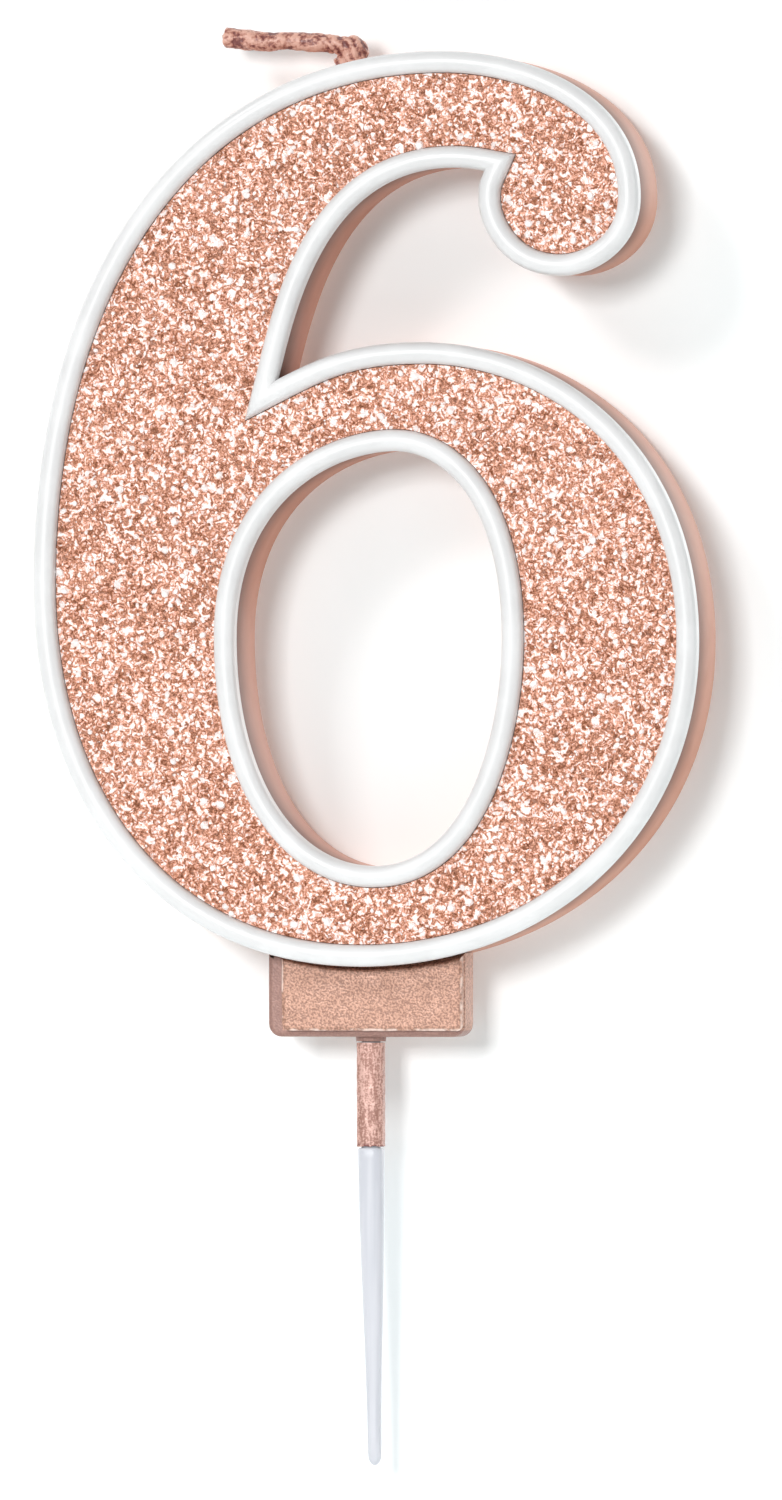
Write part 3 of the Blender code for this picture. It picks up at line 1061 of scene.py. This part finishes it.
@dataclass
class Glitter:
    """The glitter face: a bed between the beads with faceted flakes strewn over it."""

    outline: NumeralOutline
    bead_width: float = 1.70 * MM
    sizes: tuple[FlakeSize, ...] = (
        FlakeSize(0.32 * MM, 0.3, 1.05 * MM, 7),
        FlakeSize(0.20 * MM, 0.3, 0.66 * MM, 6),
        FlakeSize(0.12 * MM, 0.3, 0.46 * MM, 5),
    )
    tilt: float = math.radians(12)
    top_share: float = 0.62
    height_share: float = 0.42
    seed: int = 6

    def bed(self, finish: bpy.types.Material) -> bpy.types.Object:
        """Make the bed, a plate between the two beads.

        Args:
            finish: its material.

        Returns:
            The piece.
        """
        low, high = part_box("glitter_panel")
        mesh = bmesh.new()
        ends = []
        for edge in Edge:
            loop = self.outline.inset(edge, self.bead_width)
            ends.append(sweep(mesh, [at_depth(loop, low.y), at_depth(loop, high.y)]))
        cap(mesh, ends[0][0], ends[1][0])
        cap(mesh, ends[0][1], ends[1][1])
        return stand_in(mesh, "glitter_bed", "glitter_panel", finish)

    def spots(self, size: FlakeSize, chance: np.random.Generator) -> np.ndarray:
        """Scatter one cut of flake over the face.

        Args:
            size: the cut to scatter.
            chance: the random source.

        Returns:
            The flakes' centres as (x, z) rows.
        """
        outer = self.outline.inset(Edge.OUTER, self.bead_width + size.radius * 0.6)
        counter = self.outline.inset(Edge.COUNTER, self.bead_width + size.radius * 0.6)
        low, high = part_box("glitter_panel")
        rows = np.arange(low.z, high.z, size.spacing * 0.866)
        columns = np.arange(low.x, high.x, size.spacing)
        xs, zs = np.meshgrid(columns, rows)
        xs = xs + (np.arange(len(rows)) % 2)[:, None] * size.spacing / 2
        grid = np.stack((xs.ravel(), zs.ravel()), axis=1)
        grid += chance.uniform(-0.42, 0.42, grid.shape) * size.spacing
        return grid[inside(grid, outer) & ~inside(grid, counter)]

    def flake(self, size: FlakeSize) -> bpy.types.Mesh:
        """Make one flake, lying on the XY plane with its flat top up.

        Args:
            size: its cut.

        Returns:
            Its mesh.
        """
        mesh = bmesh.new()
        bmesh.ops.create_cone(
            mesh,
            cap_ends=True,
            cap_tris=False,
            segments=size.sides,
            radius1=size.radius,
            radius2=size.radius * self.top_share,
            depth=size.radius * self.height_share,
        )
        data = bpy.data.meshes.new("flake")
        mesh.to_mesh(data)
        mesh.free()
        return data

    def placement(self, spot: Vector, size: FlakeSize, chance: np.random.Generator) -> Matrix:
        """Lay one flake: spun, stretched, tilted and pressed into the bed.

        Args:
            spot: its place on the bed.
            size: its cut.
            chance: the random source.

        Returns:
            Its matrix.
        """
        spin = Matrix.Rotation(chance.uniform(0, math.tau), 4, "Z")
        grow = 1 + size.spread * chance.uniform(-1, 1)
        stretch = Matrix.Diagonal((grow, grow * chance.uniform(0.65, 1.0), grow, 1.0))
        lean = Matrix.Rotation(chance.normal(0, self.tilt), 4, "X")
        roll = Matrix.Rotation(chance.normal(0, self.tilt), 4, "Y")
        face = Matrix.Rotation(math.pi / 2, 4, "X")
        rise = size.radius * self.height_share * chance.uniform(0.0, 0.45)
        place = Matrix.Translation(spot - Vector((0.0, rise, 0.0)))
        return place @ face @ lean @ roll @ spin @ stretch

    def flakes(self, finishes: dict[Tone, bpy.types.Material]) -> list[bpy.types.Object]:
        """Strew the flakes, one piece for each tone.

        Args:
            finishes: the material of each tone.

        Returns:
            The pieces.
        """
        chance = np.random.default_rng(self.seed)
        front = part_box("glitter_panel")[0].y
        beds = {tone: bmesh.new() for tone in Tone}
        tones = list(Tone)
        shares = [tone.value for tone in tones]
        for size in self.sizes:
            pattern = self.flake(size)
            flat = np.empty(len(pattern.vertices) * 3, np.float32)
            pattern.vertices.foreach_get("co", flat)
            for x, z in self.spots(size, chance):
                tone = tones[chance.choice(len(tones), p=shares)]
                pattern.transform(self.placement(Vector((x, front, z)), size, chance))
                beds[tone].from_mesh(pattern)
                pattern.vertices.foreach_set("co", flat)
            bpy.data.meshes.remove(pattern)
        pieces = []
        for tone, mesh in beds.items():
            piece = finished(mesh, f"glitter_{tone.name.lower()}", sharp=10.0, turn_out=False)
            fit(piece, "candle", finishes[tone])
            pieces.append(piece)
        return pieces


# Foot and pick

@dataclass
class Foot:
    """The pearl wax foot: a slab under the numeral with a raised pad on its front."""

    outline: NumeralOutline
    corner: float = 1.0 * MM
    edge: float = 0.3 * MM
    pad_left: float = -6.57 * MM
    pad_right: float = 7.62 * MM
    pad_bottom: float = 0.45 * MM
    pad_rise: float = 0.6 * MM
    pad_corner: float = 0.55 * MM
    pad_edge: float = 0.28 * MM
    ragged: float = 0.05 * MM
    seed: int = 6
    step: float = 0.3 * MM

    def top(self, x: float) -> float:
        """The height at which the foot meets the numeral, at one place across it."""
        below = [(abs(px - x), pz) for px, pz in self.outline.edges[Edge.OUTER] if pz < 12 * MM]
        return min(below)[1] + 0.08 * MM

    def shape(self, left: float, right: float, bottom: float, corner: float, drop: float) -> Loop:
        """An outline with a top that follows the numeral and two round lower corners.

        Args:
            left: the left side.
            right: the right side.
            bottom: the underside.
            corner: the radius of the lower corners.
            drop: how far the top lies below the numeral's edge.

        Returns:
            The outline, anticlockwise from its upper left.
        """
        points: Loop = []
        rise = self.top(left) - drop - bottom - corner
        count = round(rise / self.step)
        points += [(left, bottom + corner + rise * (1 - n / count)) for n in range(count)]
        for middle, start in ((left + corner, 180.0), (right - corner, 270.0)):
            for step in range(7):
                angle = math.radians(start + 15.0 * step)
                across = middle + corner * math.cos(angle)
                points.append((across, bottom + corner + corner * math.sin(angle)))
            if start == 180.0:
                count = round((right - left - 2 * corner) / self.step)
                run = right - left - 2 * corner
                points += [(left + corner + run * n / count, bottom) for n in range(1, count)]
        rise = self.top(right) - drop - bottom - corner
        count = round(rise / self.step)
        points += [(right, bottom + corner + rise * n / count) for n in range(1, count + 1)]
        count = round((right - left) / self.step)
        for n in range(1, count):
            x = right - (right - left) * n / count
            points.append((x, self.top(x) - drop))
        return points

    def build(self, finish: bpy.types.Material) -> bpy.types.Object:
        """Make the piece.

        Args:
            finish: its material.

        Returns:
            The piece.
        """
        low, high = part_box("foot_block")
        slab_front = low.y + self.pad_rise
        slab = self.shape(low.x, high.x, low.z, self.corner, 0.0)
        pad = self.shape(
            self.pad_left, self.pad_right, self.pad_bottom, self.pad_corner, 0.25 * MM
        )
        turn = [math.pi / 2 * step / 4 for step in range(5)]
        rounded = [(1 - math.sin(angle), 1 - math.cos(angle)) for angle in turn]
        mesh = bmesh.new()
        rings = [(self.edge + 0.15 * MM, slab_front)]
        rings += [(self.edge * a, slab_front + self.edge * b) for a, b in rounded]
        rings += [(self.edge * a, high.y - self.edge * b) for a, b in reversed(rounded)]
        rings += [(self.edge + 0.15 * MM, high.y)]
        front, back = sweep(mesh, [at_depth(offset(slab, a), y) for a, y in rings])
        rings = [(0.0, slab_front)]
        rings += [(self.pad_edge * a, low.y + self.pad_edge * b) for a, b in reversed(rounded)]
        rings += [(self.pad_edge + 0.15 * MM, low.y)]
        base, face = sweep(mesh, [at_depth(offset(pad, a), y) for a, y in rings])
        cap(mesh, front, base)
        cap(mesh, back)
        cap(mesh, face)
        self.rough_up(mesh)
        return stand_in(mesh, "pearl_foot", "foot_block", finish)

    def rough_up(self, mesh: bmesh.types.BMesh) -> None:
        """Make the pad's edge a little uneven, as poured wax leaves it.

        Args:
            mesh: the foot's mesh.
        """
        noise.seed_set(self.seed)
        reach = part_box("foot_block")[0].y + 0.4 * MM
        for vert in mesh.verts:
            if vert.co.y < reach:
                wander = noise.noise_vector(vert.co * 1400.0) * self.ragged
                vert.co += Vector((wander.x, wander.y * 0.6, wander.z))


@dataclass
class Shank:
    """A long piece of rounded square section along Z, such as the pick or its sleeve."""

    flatness: float = 0.85
    square: float = 3.2
    sides: int = 40

    def ring(self, z: float, half_width: float, shift: float = 0.0) -> list[Vector]:
        """One section of the shank.

        Args:
            z: its height.
            half_width: half its width across X.
            shift: how far it lies to the side.

        Returns:
            The places of its vertices.
        """
        places = []
        for step in range(self.sides):
            angle = math.tau * step / self.sides
            c, s = math.cos(angle), math.sin(angle)
            reach = (abs(c) ** self.square + abs(s) ** self.square) ** (-1 / self.square)
            x = shift + half_width * reach * c
            y = half_width * self.flatness * reach * s
            places.append(Vector((x, y, z)))
        return places


@dataclass
class Pick(Shank):
    """The frosted pick below the sleeve, with its stem and barbs above."""

    node: str = "pick"
    lean: float = 0.3 * MM
    stem: float = 0.72 * MM
    shoulder: float = 0.96 * MM
    barb: float = 1.15 * MM
    barb_pitch: float = 5.6 * MM
    taper: float = 0.44 * MM
    tip_share: float = 0.035

    def build(self, finish: bpy.types.Material) -> bpy.types.Object:
        """Make the piece.

        Args:
            finish: its material.

        Returns:
            The piece.
        """
        low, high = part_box(self.node)
        shoulder_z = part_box("pick_sleeve")[0].z - 0.08 * MM
        stations = [(high.z, 0.45 * MM, 0.0), (high.z - 0.25 * MM, 0.62 * MM, 0.0)]
        for top in (high.z, high.z - self.barb_pitch):
            stations.append((top - 2.1 * MM, self.barb, 0.0))
            stations.append((top - 2.4 * MM, self.barb - 0.03 * MM, 0.0))
            stations.append((top - 2.6 * MM, self.stem, 0.0))
            stations.append((top - 5.2 * MM, self.stem, 0.0))
        stations.append((shoulder_z, self.stem, 0.0))
        stations.append((shoulder_z - 0.02 * MM, self.shoulder - 0.05 * MM, 0.0))
        stations.append((shoulder_z - 0.12 * MM, self.shoulder, 0.0))
        run = shoulder_z - low.z
        for step in range(1, 30):
            share = step / 30
            width = self.shoulder - self.taper * (share * share * (3 - 2 * share)) ** 1.15
            fallen = run * share * (1 - self.tip_share)
            stations.append((shoulder_z - fallen, width, self.lean * share))
        tip = self.shoulder - 0.45 * MM
        for step in range(1, 7):
            angle = math.pi / 2 * step / 6.3
            z = low.z + run * self.tip_share * (1 - math.sin(angle))
            stations.append((z, tip * math.cos(angle), self.lean))
        mesh = bmesh.new()
        ends = sweep(mesh, [self.ring(z, width, shift) for z, width, shift in stations])
        cap(mesh, ends[0])
        cap(mesh, ends[1])
        return stand_in(mesh, "cake_pick", self.node, finish, 40.0)


@dataclass
class Sleeve(Shank):
    """The rose gold coat on the upper pick, with an uneven lower edge."""

    node: str = "pick_sleeve"
    bore: float = 0.86 * MM
    ragged: float = 0.16 * MM
    rings: int = 26

    def build(self, finish: bpy.types.Material) -> bpy.types.Object:
        """Make the piece.

        Args:
            finish: its material.

        Returns:
            The piece.
        """
        low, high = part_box(self.node)
        half = high.x
        outer = []
        for step in range(self.rings + 1):
            z = high.z - (high.z - low.z) * step / self.rings
            outer.append(self.ring(z, half * (1 + 0.012 * math.sin(step * 1.7))))
        lip = self.ring(low.z, half * 0.97)
        inner = [self.ring(z, self.bore) for z in (low.z, (low.z + high.z) / 2, high.z)]
        mesh = bmesh.new()
        sweep(mesh, outer + [lip] + inner, closed=True)
        for vert in mesh.verts:
            if vert.co.z < low.z + 0.3 * MM:
                vert.co.z += self.ragged * abs(noise.noise(vert.co * 1300.0))
        return stand_in(mesh, "rose_sleeve", self.node, finish, 50.0)


# The wick

@dataclass
class WickCoat:
    """The waxed wick outside the body: a folded root, a bend and a limp-looking tail."""

    radius: float = 0.70 * MM
    bend_radius: float = 0.98 * MM
    tip_flare: float = 0.12 * MM
    bore: float = 0.5 * MM
    wrinkle: float = 0.19 * MM
    fold: float = 0.10 * MM
    fold_pitch: float = 0.56 * MM
    fold_turn: float = math.radians(38.0)
    fold_middle: float = -1.9 * MM
    fold_reach: float = 1.3 * MM
    fold_wander: float = 0.45 * MM
    wrinkles_per_metre: tuple = (900.0, 1300.0, 1300.0)
    blend_start: tuple = (-1.5 * MM, 0.0, 74.9 * MM)
    blend_end: tuple = (-2.6 * MM, 0.0, 76.4 * MM)
    voxel: float = 0.06 * MM
    sides: int = 28
    path: tuple[Knot, ...] = (
        Knot(-2.35, 74.30, (0, 0), (0.5, 0.35)),
        Knot(-1.10, 75.45, (-0.25, -0.45), (0.22, 0.42)),
        Knot(-1.90, 76.12, (0.55, 0.10), (-0.6, -0.05)),
        Knot(-4.40, 76.36, (1.1, -0.08), (-1.2, 0.08)),
        Knot(-7.60, 76.44, (1.2, 0.08), (-1.2, -0.06)),
        Knot(-11.45, 76.78, (1.4, -0.10), (0, 0)),
    )

    def line(self) -> list[Vector]:
        """Walk the wick's centre line.

        Returns:
            Its places, from its root to its cut tip.
        """
        places: list[Vector] = []
        for start, end in zip(self.path, self.path[1:]):
            places += curve(start, end, 16)[:-1]
        places.append(Vector((self.path[-1].x, 0, self.path[-1].z)) * MM)
        return places

    def ring(self, line: list[Vector], index: int, radius: float) -> list[Vector]:
        """One round section across the centre line.

        Args:
            line: the centre line.
            index: which of its places the section crosses.
            radius: the section's radius.

        Returns:
            The places of its vertices.
        """
        before = line[max(index - 1, 0)]
        after = line[min(index + 1, len(line) - 1)]
        heading = (after - before).normalized()
        aside = Vector((0, 1, 0))
        up = heading.cross(aside)
        places = []
        for step in range(self.sides):
            angle = math.tau * step / self.sides
            places.append(line[index] + (aside * math.cos(angle) + up * math.sin(angle)) * radius)
        return places

    def girth(self, share: float) -> float:
        """Size the coat along its length.

        Args:
            share: how far along, from 0 at the root to 1 at the tip.

        Returns:
            The radius there.
        """
        swell = (self.bend_radius - self.radius) * math.exp(-((share - 0.12) / 0.16) ** 2)
        uneven = 0.03 * MM * math.sin(share * 23.0)
        return self.radius + swell + uneven + self.tip_flare * share ** 10

    def solid(self) -> bpy.types.Mesh:
        """Make the coat's closed skin, remeshed so that its fold is clean.

        Returns:
            The smooth skin.
        """
        line = self.line()
        last = len(line) - 1
        outer = [self.ring(line, i, self.girth(i / last)) for i in range(last + 1)]
        mouth = self.ring(line, last, self.bore)
        floor = self.ring(line, last - 5, self.bore * 0.9)
        mesh = bmesh.new()
        ends = sweep(mesh, outer + [mouth, floor])
        cap(mesh, ends[0])
        cap(mesh, ends[1])
        rough = finished(mesh, "wick_rough")
        remesh = rough.modifiers.new("Skin", "REMESH")
        remesh.mode = "VOXEL"
        remesh.voxel_size = self.voxel
        bpy.context.view_layer.update()
        graph = bpy.context.evaluated_depsgraph_get()
        skin = bpy.data.meshes.new_from_object(rough.evaluated_get(graph))
        bpy.data.objects.remove(rough, do_unlink=True)
        return skin

    def relief(self, place: Vector) -> float:
        """Shape the wrinkles and folds.

        Args:
            place: a place on the smooth skin.

        Returns:
            How far they stand out there, about -1 to 1.
        """
        along = Vector([axis * scale for axis, scale in zip(place, self.wrinkles_per_metre)])
        wrinkle = noise.fractal(along, 0.8, 2.2, 4)
        near = max(0.0, min(1.0, 1.6 - abs(place.x - self.fold_middle) / self.fold_reach))
        across = place.x * math.cos(self.fold_turn) + place.z * math.sin(self.fold_turn)
        swing = across + self.fold_wander * noise.noise(place * 700.0)
        fold = 1.0 - 2.0 * abs(math.sin(math.pi * swing / self.fold_pitch)) ** 1.5
        return wrinkle - fold * near * self.fold / self.wrinkle

    def build(self, finish: bpy.types.Material) -> bpy.types.Object:
        """Make the piece, wrinkled.

        Args:
            finish: its material.

        Returns:
            The piece.
        """
        mesh = bmesh.new()
        skin = self.solid()
        mesh.from_mesh(skin)
        bpy.data.meshes.remove(skin)
        for _ in range(2):
            axes = {f"use_axis_{axis}": True for axis in "xyz"}
            bmesh.ops.smooth_vert(mesh, verts=mesh.verts, factor=0.5, **axes)
        mesh.normal_update()
        # the relief also feeds the wick's material, which paints shade in the creases and a
        # highlight on the ridges
        height = mesh.verts.layers.float.new("relief")
        for vert in mesh.verts:
            relief = self.relief(vert.co)
            vert[height] = 0.5 + 0.5 * relief
            vert.co += vert.normal * relief * self.wrinkle * 0.5
        piece = finished(mesh, "waxed_wick", sharp=80.0)
        piece.data.materials.append(finish)
        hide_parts("wick_sheath", "wick_root_collar")
        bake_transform(piece)
        log.info("waxed_wick: %d faces, bends at the hinge", len(piece.data.polygons))
        return piece


# Studio

@dataclass(frozen=True)
class Lamp:
    """A soft square lamp aimed at the middle of the candle."""

    name: str
    azimuth: float
    elevation: float
    distance: float
    size: float
    level: float

    def build(self, target: Vector) -> None:
        """Hang the lamp.

        Args:
            target: the point that the lamp is aimed at.
        """
        turn, rise = math.radians(self.azimuth), math.radians(self.elevation)
        away = Vector(
            (math.sin(turn) * math.cos(rise), -math.cos(turn) * math.cos(rise), math.sin(rise))
        )
        data = bpy.data.lights.new(self.name, "AREA")
        data.shape = "SQUARE"
        data.size = self.size
        data.energy = self.level * math.pi * math.pi * self.distance ** 2
        lamp = bpy.data.objects.new(self.name, data)
        lamp.location = target + away * self.distance
        lamp.rotation_euler = away.to_track_quat("Z", "Y").to_euler()
        bpy.context.scene.collection.objects.link(lamp)


@dataclass
class Studio:
    """The pale sweep behind and under the candle, the lamps, the sky and the camera."""

    middle: Vector = field(default_factory=lambda: Vector((0.0, 0.0, 22.0)) * MM)
    gap: float = 0.7 * MM
    floor_z: float = -40.0 * MM
    reach: float = 0.25
    height: float = 0.25
    bend: float = 3.0 * MM
    sky: float = 0.16
    white: float = 0.92
    glow: float = 0.10
    glow_tint: tuple = (0.66, 1.0, 1.04)
    lamps: tuple[Lamp, ...] = (
        Lamp("key", -9.0, 11.0, 0.9, 0.20, 0.53),
        Lamp("side_key", -37.0, 34.0, 0.9, 0.18, 0.30),
        Lamp("fill", 66.0, 6.0, 0.9, 0.4, 0.17),
        Lamp("back_right", 155.0, 15.0, 0.9, 0.45, 0.30),
        Lamp("back_left", 205.0, 20.0, 0.9, 0.45, 0.30),
    )
    azimuth: float = 12.0
    lens: float = 600.0
    sensor: float = 36.0
    frame_height: float = 115.03 * MM
    aim_right: float = 1.534 * MM
    aim_z: float = 22.01 * MM
    focus_y: float = -2.2 * MM

    def backdrop(self) -> None:
        """Make the sweep: a floor that curves up into a wall close behind the candle."""
        wall_y = CAD_BOX[1].y + self.gap
        profile = [Vector((-self.reach, -self.reach, self.floor_z))]
        for step in range(13):
            angle = math.pi / 2 * step / 12
            y = wall_y - self.bend + self.bend * math.sin(angle)
            z = self.floor_z + self.bend * (1 - math.cos(angle))
            profile.append(Vector((-self.reach, y, z)))
        profile.append(Vector((-self.reach, wall_y, self.height)))
        mesh = bmesh.new()
        verts = [mesh.verts.new(place) for place in profile]
        edges = [mesh.edges.new(pair) for pair in zip(verts, verts[1:])]
        made = bmesh.ops.extrude_edge_only(mesh, edges=edges)["geom"]
        fresh = [item for item in made if isinstance(item, bmesh.types.BMVert)]
        bmesh.ops.translate(mesh, verts=fresh, vec=(2 * self.reach, 0, 0))
        sweep_piece = finished(mesh, "sweep")
        if sweep_piece.data.polygons[-1].normal.y > 0:
            sweep_piece.data.flip_normals()
        sweep_piece.data.materials.append(self.paper())
        sweep_piece.visible_shadow = False

    def paper(self) -> bpy.types.Material:
        """White paper with a faint cool glow on its front, nothing at all from behind.

        Returns:
            The material.
        """
        finish = Finish("paper", 0.9)
        finish.shader.inputs["Base Color"].default_value = (*(self.white,) * 3, 1.0)
        finish.shader.inputs["Emission Color"].default_value = (*self.glow_tint, 1.0)
        finish.shader.inputs["Emission Strength"].default_value = self.glow
        finish.shader.inputs["Specular IOR Level"].default_value = 0.0
        graph = finish.graph
        clear = graph.add("ShaderNodeBsdfTransparent")
        behind = graph.add("ShaderNodeNewGeometry").outputs["Backfacing"]
        choice = graph.add("ShaderNodeMixShader", Fac=behind)
        graph.feed(choice.inputs[1], finish.shader.outputs["BSDF"])
        graph.feed(choice.inputs[2], clear.outputs["BSDF"])
        out = finish.material.node_tree.nodes["Material Output"]
        graph.feed(out.inputs["Surface"], choice.outputs["Shader"])
        return finish.material

    def light_up(self) -> None:
        """Hang the lamps and light the sky, which looks white to the camera."""
        for lamp in self.lamps:
            lamp.build(self.middle)
        world = bpy.data.worlds.new("studio")
        world.use_nodes = True
        bpy.context.scene.world = world
        graph = Graph(world.node_tree)
        seen = graph.add("ShaderNodeLightPath").outputs["Is Camera Ray"]
        sky = world.node_tree.nodes["Background"]
        sky.inputs["Color"].default_value = (1.0, 1.0, 1.0, 1.0)
        graph.feed(sky.inputs["Strength"], graph.span(seen, 0.0, 1.0, self.sky, 1.0))

    def shoot(self) -> None:
        """Set up the camera, turned a little to the candle's right."""
        turn = math.radians(self.azimuth)
        right = Vector((math.cos(turn), math.sin(turn), 0.0))
        back = Vector((math.sin(turn), -math.cos(turn), 0.0))
        data = bpy.data.cameras.new("camera")
        data.lens = self.lens
        data.sensor_width = self.sensor
        data.clip_start = 0.05
        data.clip_end = 20.0
        distance = self.frame_height * self.lens / self.sensor
        camera = bpy.data.objects.new("camera", data)
        aim = right * self.aim_right + Vector((0.0, 0.0, self.aim_z))
        camera.location = aim + back * (distance - self.focus_y * math.cos(turn))
        camera.rotation_euler = back.to_track_quat("Z", "Y").to_euler()
        bpy.context.scene.collection.objects.link(camera)
        bpy.context.scene.camera = camera

    def build(self) -> None:
        """Set up the whole studio."""
        self.backdrop()
        self.light_up()
        self.shoot()
        bpy.context.scene.view_settings.view_transform = "Standard"


# Assembly

GLITTER_BED = GlitterFinish("glitter_bed")
FLAKES = {
    # flash flakes: the same glitter lifted near white, a painted glint
    Tone.FLASH: GlitterFinish("flake_painted_flash", 0.80),
    Tone.BLUSH: GlitterFinish("flake_blush", 0.08),
    Tone.COPPER: GlitterFinish("flake_copper", -0.10),
}


def dress_cad_nodes(finishes: dict[str, bpy.types.Material]) -> None:
    """Give the CAD nodes that stay in view their finishes.

    Args:
        finishes: the material for each prefix of a node's name.
    """
    for name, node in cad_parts.items():
        for prefix, finish in finishes.items():
            if name.startswith(prefix):
                node.data.materials.clear()
                node.data.materials.append(finish)
                log.info("%s: dressed in %s", name, finish.name)


def main() -> None:
    """Build the candle and its studio."""
    logging.basicConfig(level=logging.INFO, format="%(name)s: %(message)s")
    outline = NumeralOutline()
    white = WhiteWax().build()
    pearl = PearlWax().build()
    WaxBody(outline).build(RoseWax().build())
    WaxBead(outline, Edge.OUTER, "outline_bead").build(white)
    WaxBead(outline, Edge.COUNTER, "counter_bead").build(white)
    glitter = Glitter(outline)
    glitter.bed(GLITTER_BED.build())
    glitter.flakes({tone: flake.build() for tone, flake in FLAKES.items()})
    Foot(outline).build(pearl)
    Pick().build(FrostedPlastic().build())
    Sleeve().build(RoseFoil().build())
    WickCoat().build(WickWax().build())
    cotton = Cotton().build()
    dress_cad_nodes({"neck_collar": pearl, "tail_strand": cotton, "core_strand": cotton})
    Studio().build()


if __name__ == "__main__":
    main()
